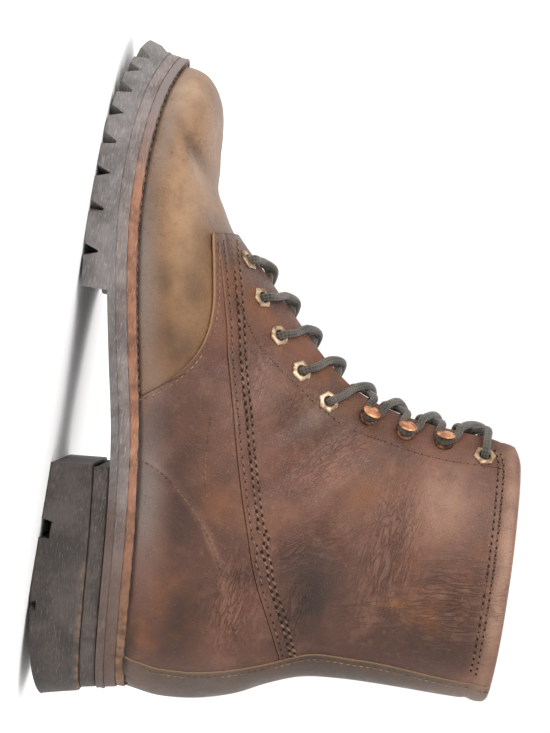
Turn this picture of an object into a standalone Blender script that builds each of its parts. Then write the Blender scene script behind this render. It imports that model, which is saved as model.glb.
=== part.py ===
"""Left plain toe lace-up work boot on a lugged rubber sole, modelled as a maker puts it together.

The boot stands on z = 0 with its toe along +X, its outer side along +Y and +Z up. Every table is in
millimetres. Stations run along the foot from the back of the heel, at 0, to the tip of the toe.
"""

import math

import bmesh
import bpy
import numpy as np
from mathutils import Matrix, Vector

MM = 0.001

# Driving sizes in millimetres.
SOLE_LENGTH = 308.0
HEEL_LEAN = 9.5
TOE_LEAN = 6.0
WALL = 2.2
PANEL = 1.4
BACKSTAY_THICK = 2.1
TONGUE_THICK = 2.4
INSOLE_THICK = 3.5
WELT_THICK = 4.4
MIDSOLE_THICK = 4.9
OUTSOLE_BASE = 3.6
LIFT_THICK = 7.6
SEAT_GAP = 0.3
FEATHER_INSET = 4.0
FOOT_TRIM = 2.0
WELT_RING = 17.0
MIDSOLE_INSET = 0.6
LIFT_INSET = 1.6
HEEL_LENGTH = 109.0
TREAD_START = 188.0
LACE_WIDTH = 3.8
EYELET_PITCH = 18.6
EYELET_FIRST = 10.0
EYELET_TOP_GAP = 20.5
LACING_INSET = 14.0
EYELET_HOLE = 2.1
EYELET_FLANGE = 5.4
EYELET_THICK = 0.8

OUTER = 1
INNER = -1


def table(columns, rows):
    """Named columns of a table, each as an array."""
    return dict(zip(columns.split(), np.array(rows, float).T))


# Plan of the sole: how far its edge reaches to the outer and the inner side of the boot's own line.
PLAN = table(
    "station outer inner",
    [
        (0, 0, 0),
        (7, 20, 20),
        (20, 30.5, 30.5),
        (42, 36.5, 36),
        (72, 37.5, 35),
        (105, 37.5, 31.5),
        (138, 40.5, 30),
        (168, 46.5, 36),
        (196, 52, 46.5),
        (222, 54, 53),
        (246, 51, 54.5),
        (268, 43.5, 51.5),
        (286, 32, 44.5),
        (299, 17, 34),
        (306, 3, 21),
        (308, -8, 8),
    ],
)

# Height of the welt's upper face along the boot: heel seat, arch, ball and toe spring.
WELT_LINE = table(
    "station height",
    [
        (9, 47.3),
        (50, 44.6),
        (90, 41.4),
        (125, 37.3),
        (160, 31.0),
        (195, 25.3),
        (230, 21.7),
        (255, 21.4),
        (280, 23.4),
        (303, 28.4),
    ],
)

# Under side of the tread: a flat ball, a little rise to the waist and the toe spring.
TREAD_LINE = table(
    "station height",
    [(188, 1.8), (206, 0.4), (214, 0), (250, 0), (262, 0.5), (278, 2.0), (294, 4.8), (308, 8.6)],
)

# Under side of the heel block: flat, worn round at the back.
HEEL_LINE = table("station height", [(0, 9.0), (14, 5.4), (32, 2.4), (48, 0.6), (60, 0), (109, 0)])

# Sections of the upper, from toe to collar. Each is a flat slice from a foot on the welt or up the back
# (rise above the welt) to a top on the vamp ridge or the throat. outer and inner are its largest half
# widths, ridge is where its top lies across the boot, gap is half the throat opening, widest is where
# along the slice the largest width is. low_curve and high_curve say how full it is below and above that.
SECTIONS = table(
    "foot rise top_x top_z outer inner ridge gap widest low_curve high_curve",
    [
        (298, 0, 298, 29, -8, 8, -8, 0, 0.4, 2.2, 2.2),
        (297.4, 0, 297.4, 32.8, 0.5, 17.5, -8, 2, 0.4, 2.2, 2.2),
        (295.6, 0, 295.6, 37.8, 8, 24.5, -8, 3, 0.4, 2.2, 2.2),
        (292.4, 0, 292.4, 41.4, 15, 31, -8, 3, 0.4, 2.2, 2.2),
        (287.5, 0, 287.5, 44.6, 22, 36.5, -7.8, 3, 0.4, 2.2, 2.2),
        (280.5, 0, 280.5, 47, 29.5, 41.5, -7.5, 3, 0.4, 2.2, 2.2),
        (270, 0, 270, 48.5, 37.5, 46.5, -7, 3, 0.38, 2.2, 2.2),
        (258, 0, 258, 49.6, 43, 49, -6.4, 3, 0.36, 2.15, 2.15),
        (247, 0, 247, 51.4, 47, 50, -6, 3, 0.34, 2.1, 2.1),
        (236, 0, 238, 55, 49.5, 50, -5.4, 3, 0.32, 2.05, 1.95),
        (222, 0, 228.5, 60, 50.5, 48.8, -4.6, 3, 0.3, 2, 1.85),
        (206, 0, 220.5, 66, 49.5, 46, -3.8, 3, 0.28, 1.95, 1.75),
        (183, 0, 208.5, 78.4, 46, 40.5, -2.8, 3.6, 0.27, 2.05, 1.65),
        (157, 0, 196, 91.2, 42.5, 36, -2, 4.2, 0.27, 2.05, 1.58),
        (129, 0, 185, 102.7, 40, 34.5, -1.2, 4.8, 0.28, 2.05, 1.58),
        (100, 0, 176.3, 112.7, 38.8, 34.8, -0.6, 5.2, 0.3, 2.05, 1.58),
        (72, 0, 170.5, 120.9, 38, 35.4, -0.2, 5.6, 0.33, 2.05, 1.58),
        (48, 0, 167, 127.2, 37.4, 35.8, 0, 5.8, 0.36, 2.1, 1.58),
        (32, 0, 164.4, 132.7, 37, 36, 0, 6, 0.38, 2.1, 1.58),
        (21.5, 0, 162.4, 137.6, 36.7, 36, 0, 6, 0.4, 2.1, 1.58),
        (15.8, 0, 160.9, 141.7, 36.4, 36, 0, 6, 0.41, 2.1, 1.58),
        (13.6, 0, 159.7, 145.2, 36.2, 35.8, 0, 6, 0.42, 2.1, 1.58),
        (11.6, 6.4, 158.4, 149.5, 36, 35.6, 0, 6, 0.43, 2.1, 1.58),
        (10.4, 15.6, 157, 154.4, 35.7, 35.4, 0, 6, 0.44, 2.1, 1.58),
        (12, 31.6, 155.6, 160.3, 35.4, 35.2, 0, 6, 0.46, 2.1, 1.58),
        (17, 48.6, 154.4, 166.8, 35.2, 35, 0, 6, 0.48, 2.15, 1.58),
        (24.5, 64.6, 153.3, 173.6, 35.2, 35, 0, 6, 0.49, 2.2, 1.58),
        (30, 80, 152.4, 181.1, 35.4, 35.2, 0, 6, 0.5, 2.2, 1.61),
        (32.2, 98, 151.7, 188.7, 35.8, 35.6, 0, 6, 0.5, 2.2, 1.64),
        (32.7, 119.3, 151, 196.2, 36.2, 36, 0, 6, 0.5, 2.2, 1.67),
        (32.7, 142.7, 149.6, 203, 36.6, 36.4, 0, 6, 0.5, 2.2, 1.7),
        (33, 165.5, 146.2, 208.9, 37, 36.8, 0, 6, 0.5, 2.2, 1.73),
    ],
)
THROAT_ROW = 11
LOW_STEPS = 4
HIGH_STEPS = 7
EDGE = LOW_STEPS + HIGH_STEPS
RIDGE = EDGE + 1

# Where the quarter's edge lies on the vamp, from the tab at the throat down to the welt.
VAMP_SEAM = table(
    "station height",
    [
        (222.6, 52.6),
        (203, 56.8),
        (189, 59),
        (176.5, 58.6),
        (165.5, 55.2),
        (157, 49.4),
        (149, 41.2),
        (141, 26.6),
    ],
)

# Where the shaft's lower edge is sewn over the quarter, from the tab to the back.
SHAFT_SEAM = table(
    "station height",
    [(230, 52.1), (197, 62.1), (148, 74.7), (100, 88.5), (72, 98.3), (47, 110.5), (0, 130.1)],
)

# Front edge of the strip down the back seam.
BACKSTAY_LINE = table(
    "height station",
    [
        (30, 34),
        (46, 29),
        (54, 26),
        (64, 25),
        (82, 27),
        (97, 31),
        (115, 38),
        (125, 42.5),
        (150, 44),
        (190, 42),
        (225, 42),
    ],
)


def smooth_column(knots, values):
    """A cubic through a table's rows, with each slope taken from the neighbouring rows."""
    slopes = np.gradient(values, knots)

    def at(query):
        query = np.clip(np.asarray(query, float), knots[0], knots[-1])
        row = np.clip(np.searchsorted(knots, query, side="right") - 1, 0, len(knots) - 2)
        width = knots[row + 1] - knots[row]
        share = (query - knots[row]) / width
        rest = 1 - share
        return (
            values[row] * rest**2 * (1 + 2 * share)
            + values[row + 1] * share**2 * (1 + 2 * rest)
            + slopes[row] * width * rest**2 * share
            - slopes[row + 1] * width * share**2 * rest
        )

    return at


def floor_column(knots, values):
    """The same cubic, stopped at the floor so that the flat spots are flat."""
    column = smooth_column(knots, values)
    return lambda query: np.maximum(column(query), 0.0)


def plan_angle(station):
    """Runs evenly round the ends of the plan, so that heel and toe come out round."""
    return np.arccos(np.clip(1 - 2 * np.asarray(station, float) / SOLE_LENGTH, -1, 1))


welt_height = smooth_column(WELT_LINE["station"], WELT_LINE["height"])
tread_height = floor_column(TREAD_LINE["station"], TREAD_LINE["height"])
heel_height = floor_column(HEEL_LINE["station"], HEEL_LINE["height"])
plan_outer = smooth_column(plan_angle(PLAN["station"]), PLAN["outer"])
plan_inner = smooth_column(plan_angle(PLAN["station"]), PLAN["inner"])
backstay_edge = smooth_column(BACKSTAY_LINE["height"], BACKSTAY_LINE["station"])


def plan_point(turn, lean):
    """A point of the sole's edge: turn runs from the heel along the outer side to the toe and back.

    lean is 0 at the floor and 1 at the welt: the heel's back and the toe's front slope in on the way up.
    """
    turn = np.mod(np.asarray(turn, float), 2 * math.pi)
    angle = np.where(turn <= math.pi, turn, 2 * math.pi - turn)
    back = HEEL_LEAN * lean
    front = SOLE_LENGTH - TOE_LEAN * lean
    along = back + (front - back) * (1 - np.cos(angle)) / 2
    across = np.where(turn <= math.pi, plan_outer(angle), -plan_inner(angle))
    return np.column_stack([along, across])


def plan_sides(inset, lean, stations):
    """Outer and inner edge points of the sole's plan at these stations, moved in by inset."""
    angle = plan_angle(stations)
    sides = []
    for turn in (angle, 2 * math.pi - angle):
        tangent = plan_point(turn + 0.02, lean) - plan_point(turn - 0.02, lean)
        tangent /= np.linalg.norm(tangent, axis=1)[:, None]
        inward = np.column_stack([tangent[:, 1], -tangent[:, 0]])
        sides.append(plan_point(turn, lean) + inset * inward)
    return sides


def even_stations(count, start=0.0, end=SOLE_LENGTH):
    """Stations spaced evenly round the plan, between two places along the foot."""
    angle = np.linspace(plan_angle(start), plan_angle(end), count)
    return SOLE_LENGTH * (1 - np.cos(angle)) / 2


FEATHER = plan_sides(FEATHER_INSET, 1.0, even_stations(121))
PLAN_EDGE = np.vstack(plan_sides(0, 0, even_stations(121)))
CENTRE = (PLAN_EDGE.min(axis=0) + PLAN_EDGE.max(axis=0)) / 2


def feather_width(station, side):
    """Half width of the upper's lower edge on one side."""
    edge = FEATHER[0] if side == OUTER else FEATHER[1]
    return side * np.interp(station, edge[:, 0], edge[:, 1])


def world(points):
    """Millimetres at a station become metres about the middle of the sole."""
    points = np.asarray(points, float)
    return (points - np.array([CENTRE[0], CENTRE[1], 0])) * MM


# Scene, collections and materials.
for old in list(bpy.data.objects):
    bpy.data.objects.remove(old, do_unlink=True)
boot = bpy.data.collections.new("plain_toe_boot")
cutters = bpy.data.collections.new("cutters")
bpy.context.scene.collection.children.link(boot)
bpy.context.scene.collection.children.link(cutters)


def finish(name, colour, roughness, metallic=0.0):
    """A plain surface in the colour that the piece has."""
    material = bpy.data.materials.new(name)
    material.use_nodes = True
    shader = material.node_tree.nodes["Principled BSDF"]
    shader.inputs["Base Color"].default_value = (*colour, 1.0)
    shader.inputs["Roughness"].default_value = roughness
    shader.inputs["Metallic"].default_value = metallic
    return material


TAN_LEATHER = finish("tan_leather", (0.24, 0.13, 0.05), 0.6)
BROWN_LEATHER = finish("brown_leather", (0.13, 0.055, 0.03), 0.5)
LINING_LEATHER = finish("lining_leather", (0.30, 0.19, 0.10), 0.7)
WELT_LEATHER = finish("welt_leather", (0.22, 0.10, 0.06), 0.65)
BLACK_RUBBER = finish("black_rubber", (0.045, 0.042, 0.042), 0.7)
MIDSOLE_BOARD = finish("midsole_board", (0.075, 0.068, 0.065), 0.7)
BRASS = finish("brass", (0.60, 0.40, 0.22), 0.35, 1.0)
COPPER = finish("copper", (0.68, 0.30, 0.14), 0.3, 1.0)
LACE_CORD = finish("lace_cord", (0.05, 0.052, 0.04), 0.9)


def add_object(name, mesh, material=None, collection=boot):
    """Puts a mesh in the boot, or a hidden cutter beside it."""
    thing = bpy.data.objects.new(name, mesh)
    collection.objects.link(thing)
    if collection is cutters:
        thing.hide_render = True
        thing.display_type = "WIRE"
        return thing
    if not mesh.materials:
        mesh.materials.append(material)
    mesh.shade_smooth()
    mesh.set_sharp_from_angle(angle=math.radians(35))
    return thing


def mesh_from(name, points, faces):
    """A mesh from points in millimetres, its doubled points joined."""
    mesh = bpy.data.meshes.new(name)
    mesh.from_pydata([tuple(p) for p in world(points)], [], faces)
    form = bmesh.new()
    form.from_mesh(mesh)
    bmesh.ops.remove_doubles(form, verts=form.verts, dist=0.00002)
    form.to_mesh(mesh)
    form.free()
    return mesh


def grid_faces(rows, columns, first=0):
    """Quads of a grid of points that are listed row by row."""
    faces = []
    for row in range(rows - 1):
        for column in range(columns - 1):
            corner = first + row * columns + column
            faces.append((corner, corner + 1, corner + columns + 1, corner + columns))
    return faces


def cut(thing, cutter, operation="DIFFERENCE"):
    """Leaves on the piece the cut that another form makes in it."""
    modifier = thing.modifiers.new(operation.lower() + "_" + cutter.name, "BOOLEAN")
    modifier.operation = operation
    modifier.object = cutter
    modifier.solver = "EXACT"


def thicken(thing, thickness, outward):
    """Gives an open sheet its thickness, to the outside or the inside."""
    modifier = thing.modifiers.new("thickness", "SOLIDIFY")
    modifier.thickness = thickness * MM
    modifier.offset = 1.0 if outward else -1.0
    modifier.use_even_offset = True
    modifier.use_rim = True


# Sole: flat layers that follow the welt's line.
def slab(name, stations, top, bottom, material=None, inset=0.0, leans=(1.0, 1.0), collection=boot):
    """A layer of the sole between two heights, each a function of the station."""
    rows = []
    for height, lean in ((top, leans[0]), (bottom, leans[1])):
        outer, inner = plan_sides(inset, lean, stations)
        ring = np.vstack([outer, inner[::-1]])
        rows.append(np.column_stack([ring, height(ring[:, 0])]))
    return close_layer(name, rows[0], rows[1], material, collection)


def close_layer(name, top, bottom, material, collection):
    """Closes two rings, outer side forwards and inner side back, into one layer."""
    count = len(top)
    half = count // 2
    faces = []
    for i in range(half - 1):
        faces.append((i, count - 1 - i, count - 2 - i, i + 1))
        faces.append((count + i, count + i + 1, 2 * count - 2 - i, 2 * count - 1 - i))
    for i in range(count):
        following = (i + 1) % count
        faces.append((i, following, count + following, count + i))
    mesh = mesh_from(name, np.vstack([top, bottom]), faces)
    tidy_normals(mesh)
    return add_object(name, mesh, material, collection)


def tidy_normals(mesh):
    """Turns every face of a closed form outwards and drops faces that have closed up."""
    form = bmesh.new()
    form.from_mesh(mesh)
    bmesh.ops.dissolve_degenerate(form, edges=form.edges, dist=0.00001)
    bmesh.ops.recalc_face_normals(form, faces=form.faces)
    form.to_mesh(mesh)
    form.free()


def below_welt(drop):
    """Height of a layer that lies this far below the welt's upper face."""
    return lambda station: welt_height(station) - drop


MIDSOLE_TOP = WELT_THICK
OUTSOLE_TOP = MIDSOLE_TOP + MIDSOLE_THICK
OUTSOLE_UNDER = OUTSOLE_TOP + OUTSOLE_BASE
LIFT_UNDER = OUTSOLE_UNDER + LIFT_THICK
SOLE_STATIONS = even_stations(27)


def make_welt():
    """A strip of leather that runs right round under the upper's edge."""
    outer, inner = plan_sides(0, 1.0, SOLE_STATIONS)
    edge = np.vstack([outer, inner[-2:0:-1]])
    outer, inner = plan_sides(WELT_RING, 1.0, SOLE_STATIONS)
    hole = np.vstack([outer, inner[-2:0:-1]])
    points = []
    for drop in (0, WELT_THICK - SEAT_GAP):
        for ring in (edge, hole):
            points.append(np.column_stack([ring, welt_height(ring[:, 0]) - drop]))
    count = len(edge)
    loops = [0, 1, 3, 2, 0]
    faces = []
    for a, b in zip(loops, loops[1:]):
        for i in range(count):
            following = (i + 1) % count
            faces.append((a * count + i, a * count + following, b * count + following, b * count + i))
    mesh = mesh_from("welt", np.vstack(points), faces)
    tidy_normals(mesh)
    return add_object("welt", mesh, WELT_LEATHER)


def make_outsole():
    """The rubber sole: a thin base from heel to toe with the tread's depth under the ball and toe."""
    waist = even_stations(14, 0, TREAD_START)
    ball = even_stations(16, TREAD_START, SOLE_LENGTH)
    stations = np.concatenate([waist, ball])
    rings = []
    for lean in (0.75, 0.6, 0.0):
        outer, inner = plan_sides(0, lean, stations)
        rings.append(np.vstack([outer, inner[::-1]]))
    tread = np.arange(len(stations)) >= len(waist)
    tread = np.concatenate([tread, tread[::-1]])
    under = np.where(tread[:, None], rings[2], rings[1])
    base = welt_height(under[:, 0]) - OUTSOLE_UNDER
    top = np.column_stack([rings[0], welt_height(rings[0][:, 0]) - OUTSOLE_TOP])
    bottom = np.column_stack([under, np.where(tread, tread_height(under[:, 0]), base)])
    return close_layer("outsole", top, bottom, BLACK_RUBBER, boot)


welt = make_welt()
midsole = slab(
    "midsole",
    SOLE_STATIONS,
    below_welt(MIDSOLE_TOP),
    below_welt(OUTSOLE_TOP - SEAT_GAP),
    MIDSOLE_BOARD,
    MIDSOLE_INSET,
    (0.9, 0.8),
)
outsole = make_outsole()
HEEL_STATIONS = even_stations(14, 0, HEEL_LENGTH)
heel_lift = slab(
    "heel_lift",
    HEEL_STATIONS,
    below_welt(OUTSOLE_UNDER + SEAT_GAP),
    below_welt(LIFT_UNDER),
    BLACK_RUBBER,
    LIFT_INSET,
    (0.6, 0.45),
)
heel_block = slab(
    "heel_block",
    HEEL_STATIONS,
    below_welt(LIFT_UNDER + SEAT_GAP),
    heel_height,
    BLACK_RUBBER,
    0.0,
    (0.45, 0.0),
)


def box_form(form, centre, size, turn=0.0):
    """Adds a box, turned about the upright, to a cutter."""
    place = Matrix.Translation(Vector(world([centre])[0])) @ Matrix.Rotation(turn, 4, "Z")
    scale = Matrix.Diagonal((size[0] * MM, size[1] * MM, size[2] * MM, 1.0))
    bmesh.ops.create_cube(form, size=1.0, matrix=place @ scale)


def wedge_form(form, centre, size, turn):
    """Adds a three-cornered nick, its point inwards, to a cutter."""
    place = Matrix.Translation(Vector(world([centre])[0])) @ Matrix.Rotation(turn, 4, "Z")
    half, deep, tall = size[0] / 2 * MM, size[1] * MM, size[2] / 2 * MM
    low = [form.verts.new(place @ Vector((x, y, -tall))) for x, y in ((-half, 0), (half, 0), (0, -deep))]
    high = [form.verts.new(place @ Vector((x, y, tall))) for x, y in ((-half, 0), (half, 0), (0, -deep))]
    form.faces.new(low)
    form.faces.new(high[::-1])
    for i in range(3):
        following = (i + 1) % 3
        form.faces.new((low[following], low[i], high[i], high[following]))


def cutter_object(name, form):
    """Keeps a cutter's form as a hidden object."""
    bmesh.ops.recalc_face_normals(form, faces=form.faces)
    mesh = bpy.data.meshes.new(name)
    form.to_mesh(mesh)
    form.free()
    return add_object(name, mesh, collection=cutters)


def edge_turn(station, side):
    """Place of the sole's edge at a station and the turn that faces a nick to it."""
    outer, inner = plan_sides(0, 0, np.array([station - 1.5, station, station + 1.5]))
    edge = outer if side == OUTER else inner
    along = edge[2] - edge[0]
    turn = math.atan2(along[1], along[0])
    return edge[1], turn if side == OUTER else turn + math.pi


# Lugs: channels between them and nicks in them, cut up into the tread from its edge.
CHANNEL_STATIONS = (204.0, 239.0, 267.0, 289.0)
NICK_STATIONS = (223.0, 254.0, 279.0, 298.0)
CHANNEL_WIDTH = 5.0
CHANNEL_REACH = 20.0
NICK_WIDTH = 5.5
NICK_REACH = 5.5
LUG_DEPTH = 6.4
MIDDLE_STATIONS = (208.0, 228.0, 248.0, 267.0)
GROOVE_INSET = 18.0
GROOVE_WIDTH = 5.0
GROOVE_END = 292.0
CUT_OVER = 1.0


def cut_tread():
    """Cuts the lugs of the ball and toe, and the row down the middle."""
    form = bmesh.new()
    for side in (OUTER, INNER):
        for station in CHANNEL_STATIONS:
            place, turn = edge_turn(station, side)
            inward = np.array([math.sin(turn), -math.cos(turn)]) * (CHANNEL_REACH / 2 - 2)
            height = float(tread_height(station)) + LUG_DEPTH / 2 - 2
            size = (CHANNEL_WIDTH, CHANNEL_REACH + 4, LUG_DEPTH + 4)
            box_form(form, (*(place + inward), height), size, turn)
    cut(outsole, cutter_object("tread_channels", form))
    form = bmesh.new()
    for side in (OUTER, INNER):
        for station in NICK_STATIONS:
            place, turn = edge_turn(station, side)
            outward = np.array([-math.sin(turn), math.cos(turn)]) * CUT_OVER
            height = float(tread_height(station)) + LUG_DEPTH / 2 - 2
            size = (NICK_WIDTH, NICK_REACH + CUT_OVER, LUG_DEPTH + 4)
            wedge_form(form, (*(place + outward), height), size, turn)
    cut(outsole, cutter_object("tread_nicks", form))
    form = bmesh.new()
    for station in MIDDLE_STATIONS:
        outer, inner = plan_sides(GROOVE_INSET + 2, 0, np.array([station]))
        height = float(tread_height(station)) + LUG_DEPTH / 2 - 2
        middle = (outer[0, 1] + inner[0, 1]) / 2
        size = (CHANNEL_WIDTH, outer[0, 1] - inner[0, 1], LUG_DEPTH + 4)
        box_form(form, (station, middle, height), size)
    cut(outsole, cutter_object("tread_middle", form))
    cut(outsole, tread_groove())


def tread_groove():
    """The groove that parts the outer lugs from the middle row, along the plan's own curve."""
    stations = even_stations(13, TREAD_START - 4, GROOVE_END)
    rings = []
    for inset in (GROOVE_INSET, GROOVE_INSET + GROOVE_WIDTH):
        outer, inner = plan_sides(inset, 0, stations)
        rings.append(np.vstack([outer, inner[::-1]]))
    count = len(rings[0])
    points = []
    for ring in rings:
        points.append(np.column_stack([ring, tread_height(ring[:, 0]) + LUG_DEPTH]))
        points.append(np.column_stack([ring, np.full(count, -4.0)]))
    form = bmesh.new()
    loops = [[form.verts.new(place) for place in world(part)] for part in points]
    for a, b in ((0, 1), (1, 3), (3, 2), (2, 0)):
        for i in range(count - 1):
            form.faces.new((loops[a][i], loops[a][i + 1], loops[b][i + 1], loops[b][i]))
    for end in (0, -1):
        form.faces.new([loops[k][end] for k in (0, 1, 3, 2)])
    return cutter_object("tread_groove", form)


# Heel cuts: one channel right across, a short one behind it, and a small nick at each end of that.
HEEL_CHANNEL = {"station": 79.0, "width": 8.5, "reach": 120.0, "depth": 4.6}
HEEL_SLOT = {"station": 46.0, "width": 5.0, "reach": 36.0, "depth": 4.7}
HEEL_NICK = {"station": 44.0, "width": 4.5, "reach": 3.5, "depth": 4.0}


def cut_heel():
    """Cuts the channel, the slot and the nicks up into the heel's under side."""
    form = bmesh.new()
    size = HEEL_CHANNEL
    box_form(form, (size["station"], 0, 0), (size["width"], size["reach"], 2 * size["depth"]))
    cut(heel_block, cutter_object("heel_channel", form))
    form = bmesh.new()
    size = HEEL_SLOT
    box_form(form, (size["station"], 0, 0), (size["width"], size["reach"], 2 * size["depth"]))
    size = HEEL_NICK
    for side in (OUTER, INNER):
        place, turn = edge_turn(size["station"], side)
        outward = np.array([-math.sin(turn), math.cos(turn)]) * CUT_OVER
        deep = size["reach"] + CUT_OVER
        wedge_form(form, (*(place + outward), 0), (size["width"], deep, 2 * size["depth"]), turn)
    cut(heel_block, cutter_object("heel_nicks", form))


cut_tread()
cut_heel()


# Upper: one hollow wall, lofted through its sections.
def section_values(row):
    """Values of one section, with the half widths of its foot."""
    values = {column: SECTIONS[column][row] for column in SECTIONS}
    closed = values["rise"] > 0 or row == 0
    values["foot_z"] = float(welt_height(values["foot"])) + (values["rise"] or -FOOT_TRIM)
    values["foot_outer"] = 0.0 if closed else float(feather_width(values["foot"], OUTER))
    values["foot_inner"] = 0.0 if closed else float(feather_width(values["foot"], INNER))
    if row == 0:
        values["foot_outer"] = values["outer"]
        values["foot_inner"] = values["inner"]
    return values


ROWS = len(SECTIONS["foot"])
SECTION_ROWS = [section_values(row) for row in range(ROWS)]
SECTION_COLUMNS = {
    name: smooth_column(np.arange(ROWS, dtype=float), np.array([row[name] for row in SECTION_ROWS]))
    for name in SECTION_ROWS[0]
}


def section_point(row, side, step):
    """A point of the upper's outer face: row runs from toe to collar, step from foot to throat edge.

    Below the widest place the half width swells from the foot, above it it closes along a full curve.
    Steps past the throat edge run on over the opening to the ridge.
    """
    at = {name: float(column(row)) for name, column in SECTION_COLUMNS.items()}
    half = at["outer"] if side == OUTER else at["inner"]
    foot = at["foot_outer"] if side == OUTER else at["foot_inner"]
    power = 2 / (at["low_curve"] if step <= LOW_STEPS else at["high_curve"])
    if step <= LOW_STEPS:
        angle = step / LOW_STEPS * math.pi / 2
        share = at["widest"] * (1 - max(math.cos(angle), 0) ** power)
        across = side * (foot + (half - foot) * math.sin(angle) ** power)
    else:
        reach = half - side * at["ridge"]
        closing = math.acos(min((at["gap"] / max(reach, 0.2)) ** (1 / power), 1.0))
        if step <= EDGE:
            angle = (step - LOW_STEPS) / HIGH_STEPS * closing
        else:
            angle = closing + (step - EDGE) * (math.pi / 2 - closing)
        share = at["widest"] + (1 - at["widest"]) * math.sin(angle) ** power
        across = at["ridge"] + side * reach * max(math.cos(angle), 0) ** power
    along = at["foot"] + (at["top_x"] - at["foot"]) * share
    height = at["foot_z"] + (at["top_z"] - at["foot_z"]) * share
    return np.array([along, across, height])


def section_grid(rows, side, steps):
    """Points of the upper's outer face, row by row."""
    return np.array([[section_point(row, side, step) for step in steps] for row in rows])


def sheet_object(name, grids, material, gap=0.0, collection=boot):
    """An open sheet of one or two grids, faced outwards and moved off the upper's face by gap."""
    points = []
    faces = []
    for grid, turned in grids:
        rows, columns = grid.shape[:2]
        made = grid_faces(rows, columns, sum(len(part) for part in points))
        faces += [face[::-1] for face in made] if turned else made
        points.append(grid.reshape(-1, 3))
    mesh = mesh_from(name, np.vstack(points), faces)
    form = bmesh.new()
    form.from_mesh(mesh)
    bmesh.ops.dissolve_degenerate(form, edges=form.edges, dist=0.00001)
    bmesh.ops.triangulate(form, faces=form.faces, quad_method="SHORT_EDGE")
    form.normal_update()
    if gap:
        moves = [(vert, vert.normal.copy()) for vert in form.verts]
        for vert, normal in moves:
            vert.co += normal * gap * MM
    form.to_mesh(mesh)
    form.free()
    return add_object(name, mesh, material, collection)


ALL_ROWS = range(ROWS)
WALL_STEPS = list(range(EDGE + 1))


def make_upper():
    """The wall of vamp and shaft, closed over the toe and open at throat, collar and underneath."""
    grids = []
    for side in (OUTER, INNER):
        grids.append((section_grid(ALL_ROWS, side, WALL_STEPS), side == OUTER))
        grids.append((section_grid(range(THROAT_ROW + 1), side, [EDGE, RIDGE]), side == OUTER))
    return sheet_object("upper", grids, TAN_LEATHER)


upper = make_upper()
thicken(upper, WALL, outward=False)

# What lies below the welt's upper face is trimmed off, so that upper and panels stand flush on it.
WELT_TRIM = slab(
    "welt_trim",
    SOLE_STATIONS,
    below_welt(-SEAT_GAP),
    below_welt(14),
    inset=-16.0,
    collection=cutters,
)
cut(upper, WELT_TRIM)


# Panels: quarters, shaft and backstay, cut from a second sheet just off the wall.
def side_prism(name, outline, low, high):
    """A form with this outline from the side, between two places across the boot."""
    form = bmesh.new()
    near = [form.verts.new(world([(x, low, z)])[0]) for x, z in outline]
    far = [form.verts.new(world([(x, high, z)])[0]) for x, z in outline]
    form.faces.new(near)
    form.faces.new(far[::-1])
    for i in range(len(outline)):
        following = (i + 1) % len(outline)
        form.faces.new((near[following], near[i], far[i], far[following]))
    return cutter_object(name, form)


def seam_points(seam, count):
    """Points along a seam, from a smooth curve through its rows."""
    order = np.arange(len(seam["station"]), dtype=float)
    share = np.linspace(0, order[-1], count)
    along = smooth_column(order, seam["station"])(share)
    height = smooth_column(order, seam["height"])(share)
    return list(zip(along, height))


def backstay_points(shift, low, high, count):
    """Points up the front edge of the backstay, moved forwards by shift."""
    heights = np.linspace(low, high, count)
    return [(float(backstay_edge(z)) + shift, z) for z in heights]


def shifted(points, along, up):
    """The same points, moved along and up."""
    return [(x + along, z + up) for x, z in points]


VAMP_EDGE = seam_points(VAMP_SEAM, 15)
SHAFT_EDGE = seam_points(SHAFT_SEAM, 13)
QUARTER_OUTLINE = (
    VAMP_EDGE
    + [(141, 15), (-20, 15), (-20, 130.1 - SEAT_GAP)]
    + shifted(SHAFT_EDGE[::-1], 0, -SEAT_GAP)[:-1]
    + [(224.0, 54.6 - SEAT_GAP)]
)
SHAFT_OUTLINE = [(224.0, 54.6), (222.0, 80), (240, 240), (-20, 240)] + SHAFT_EDGE[::-1][:-1]
BACK_FRONT = backstay_points(0, 30, 225, 16)
BACK_OUTLINE = BACK_FRONT + [(-30, 225), (-30, 30)]
BACK_CLEAR = shifted(BACK_FRONT, SEAT_GAP, 0) + [(-30, 225), (-30, 30)]

PANEL_ROWS = range(THROAT_ROW - 3, ROWS)
BACK_ROWS = range(THROAT_ROW + 6, ROWS)
BACK_STEPS = list(range(LOW_STEPS + 1))
back_clear = side_prism("back_clear", BACK_CLEAR, -70, 70)


def make_panel(name, side, outline):
    """A leather panel on one side of the wall, cut to its outline."""
    grid = section_grid(PANEL_ROWS, side, WALL_STEPS)
    panel = sheet_object(name, [(grid, side == OUTER)], BROWN_LEATHER, SEAT_GAP)
    thicken(panel, PANEL, outward=True)
    cut(panel, side_prism(name + "_outline", outline, min(0, side * 80), max(0, side * 80)), "INTERSECT")
    cut(panel, back_clear)
    cut(panel, WELT_TRIM)


for side, word in ((OUTER, "outer"), (INNER, "inner")):
    make_panel("quarter_" + word, side, QUARTER_OUTLINE)
    make_panel("shaft_" + word, side, SHAFT_OUTLINE)

back_grids = [(section_grid(BACK_ROWS, side, BACK_STEPS), side == OUTER) for side in (OUTER, INNER)]
backstay = sheet_object("backstay", back_grids, BROWN_LEATHER, SEAT_GAP)
thicken(backstay, BACKSTAY_THICK, outward=True)
cut(backstay, side_prism("backstay_outline", BACK_OUTLINE, -70, 70), "INTERSECT")
cut(backstay, WELT_TRIM)


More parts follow.
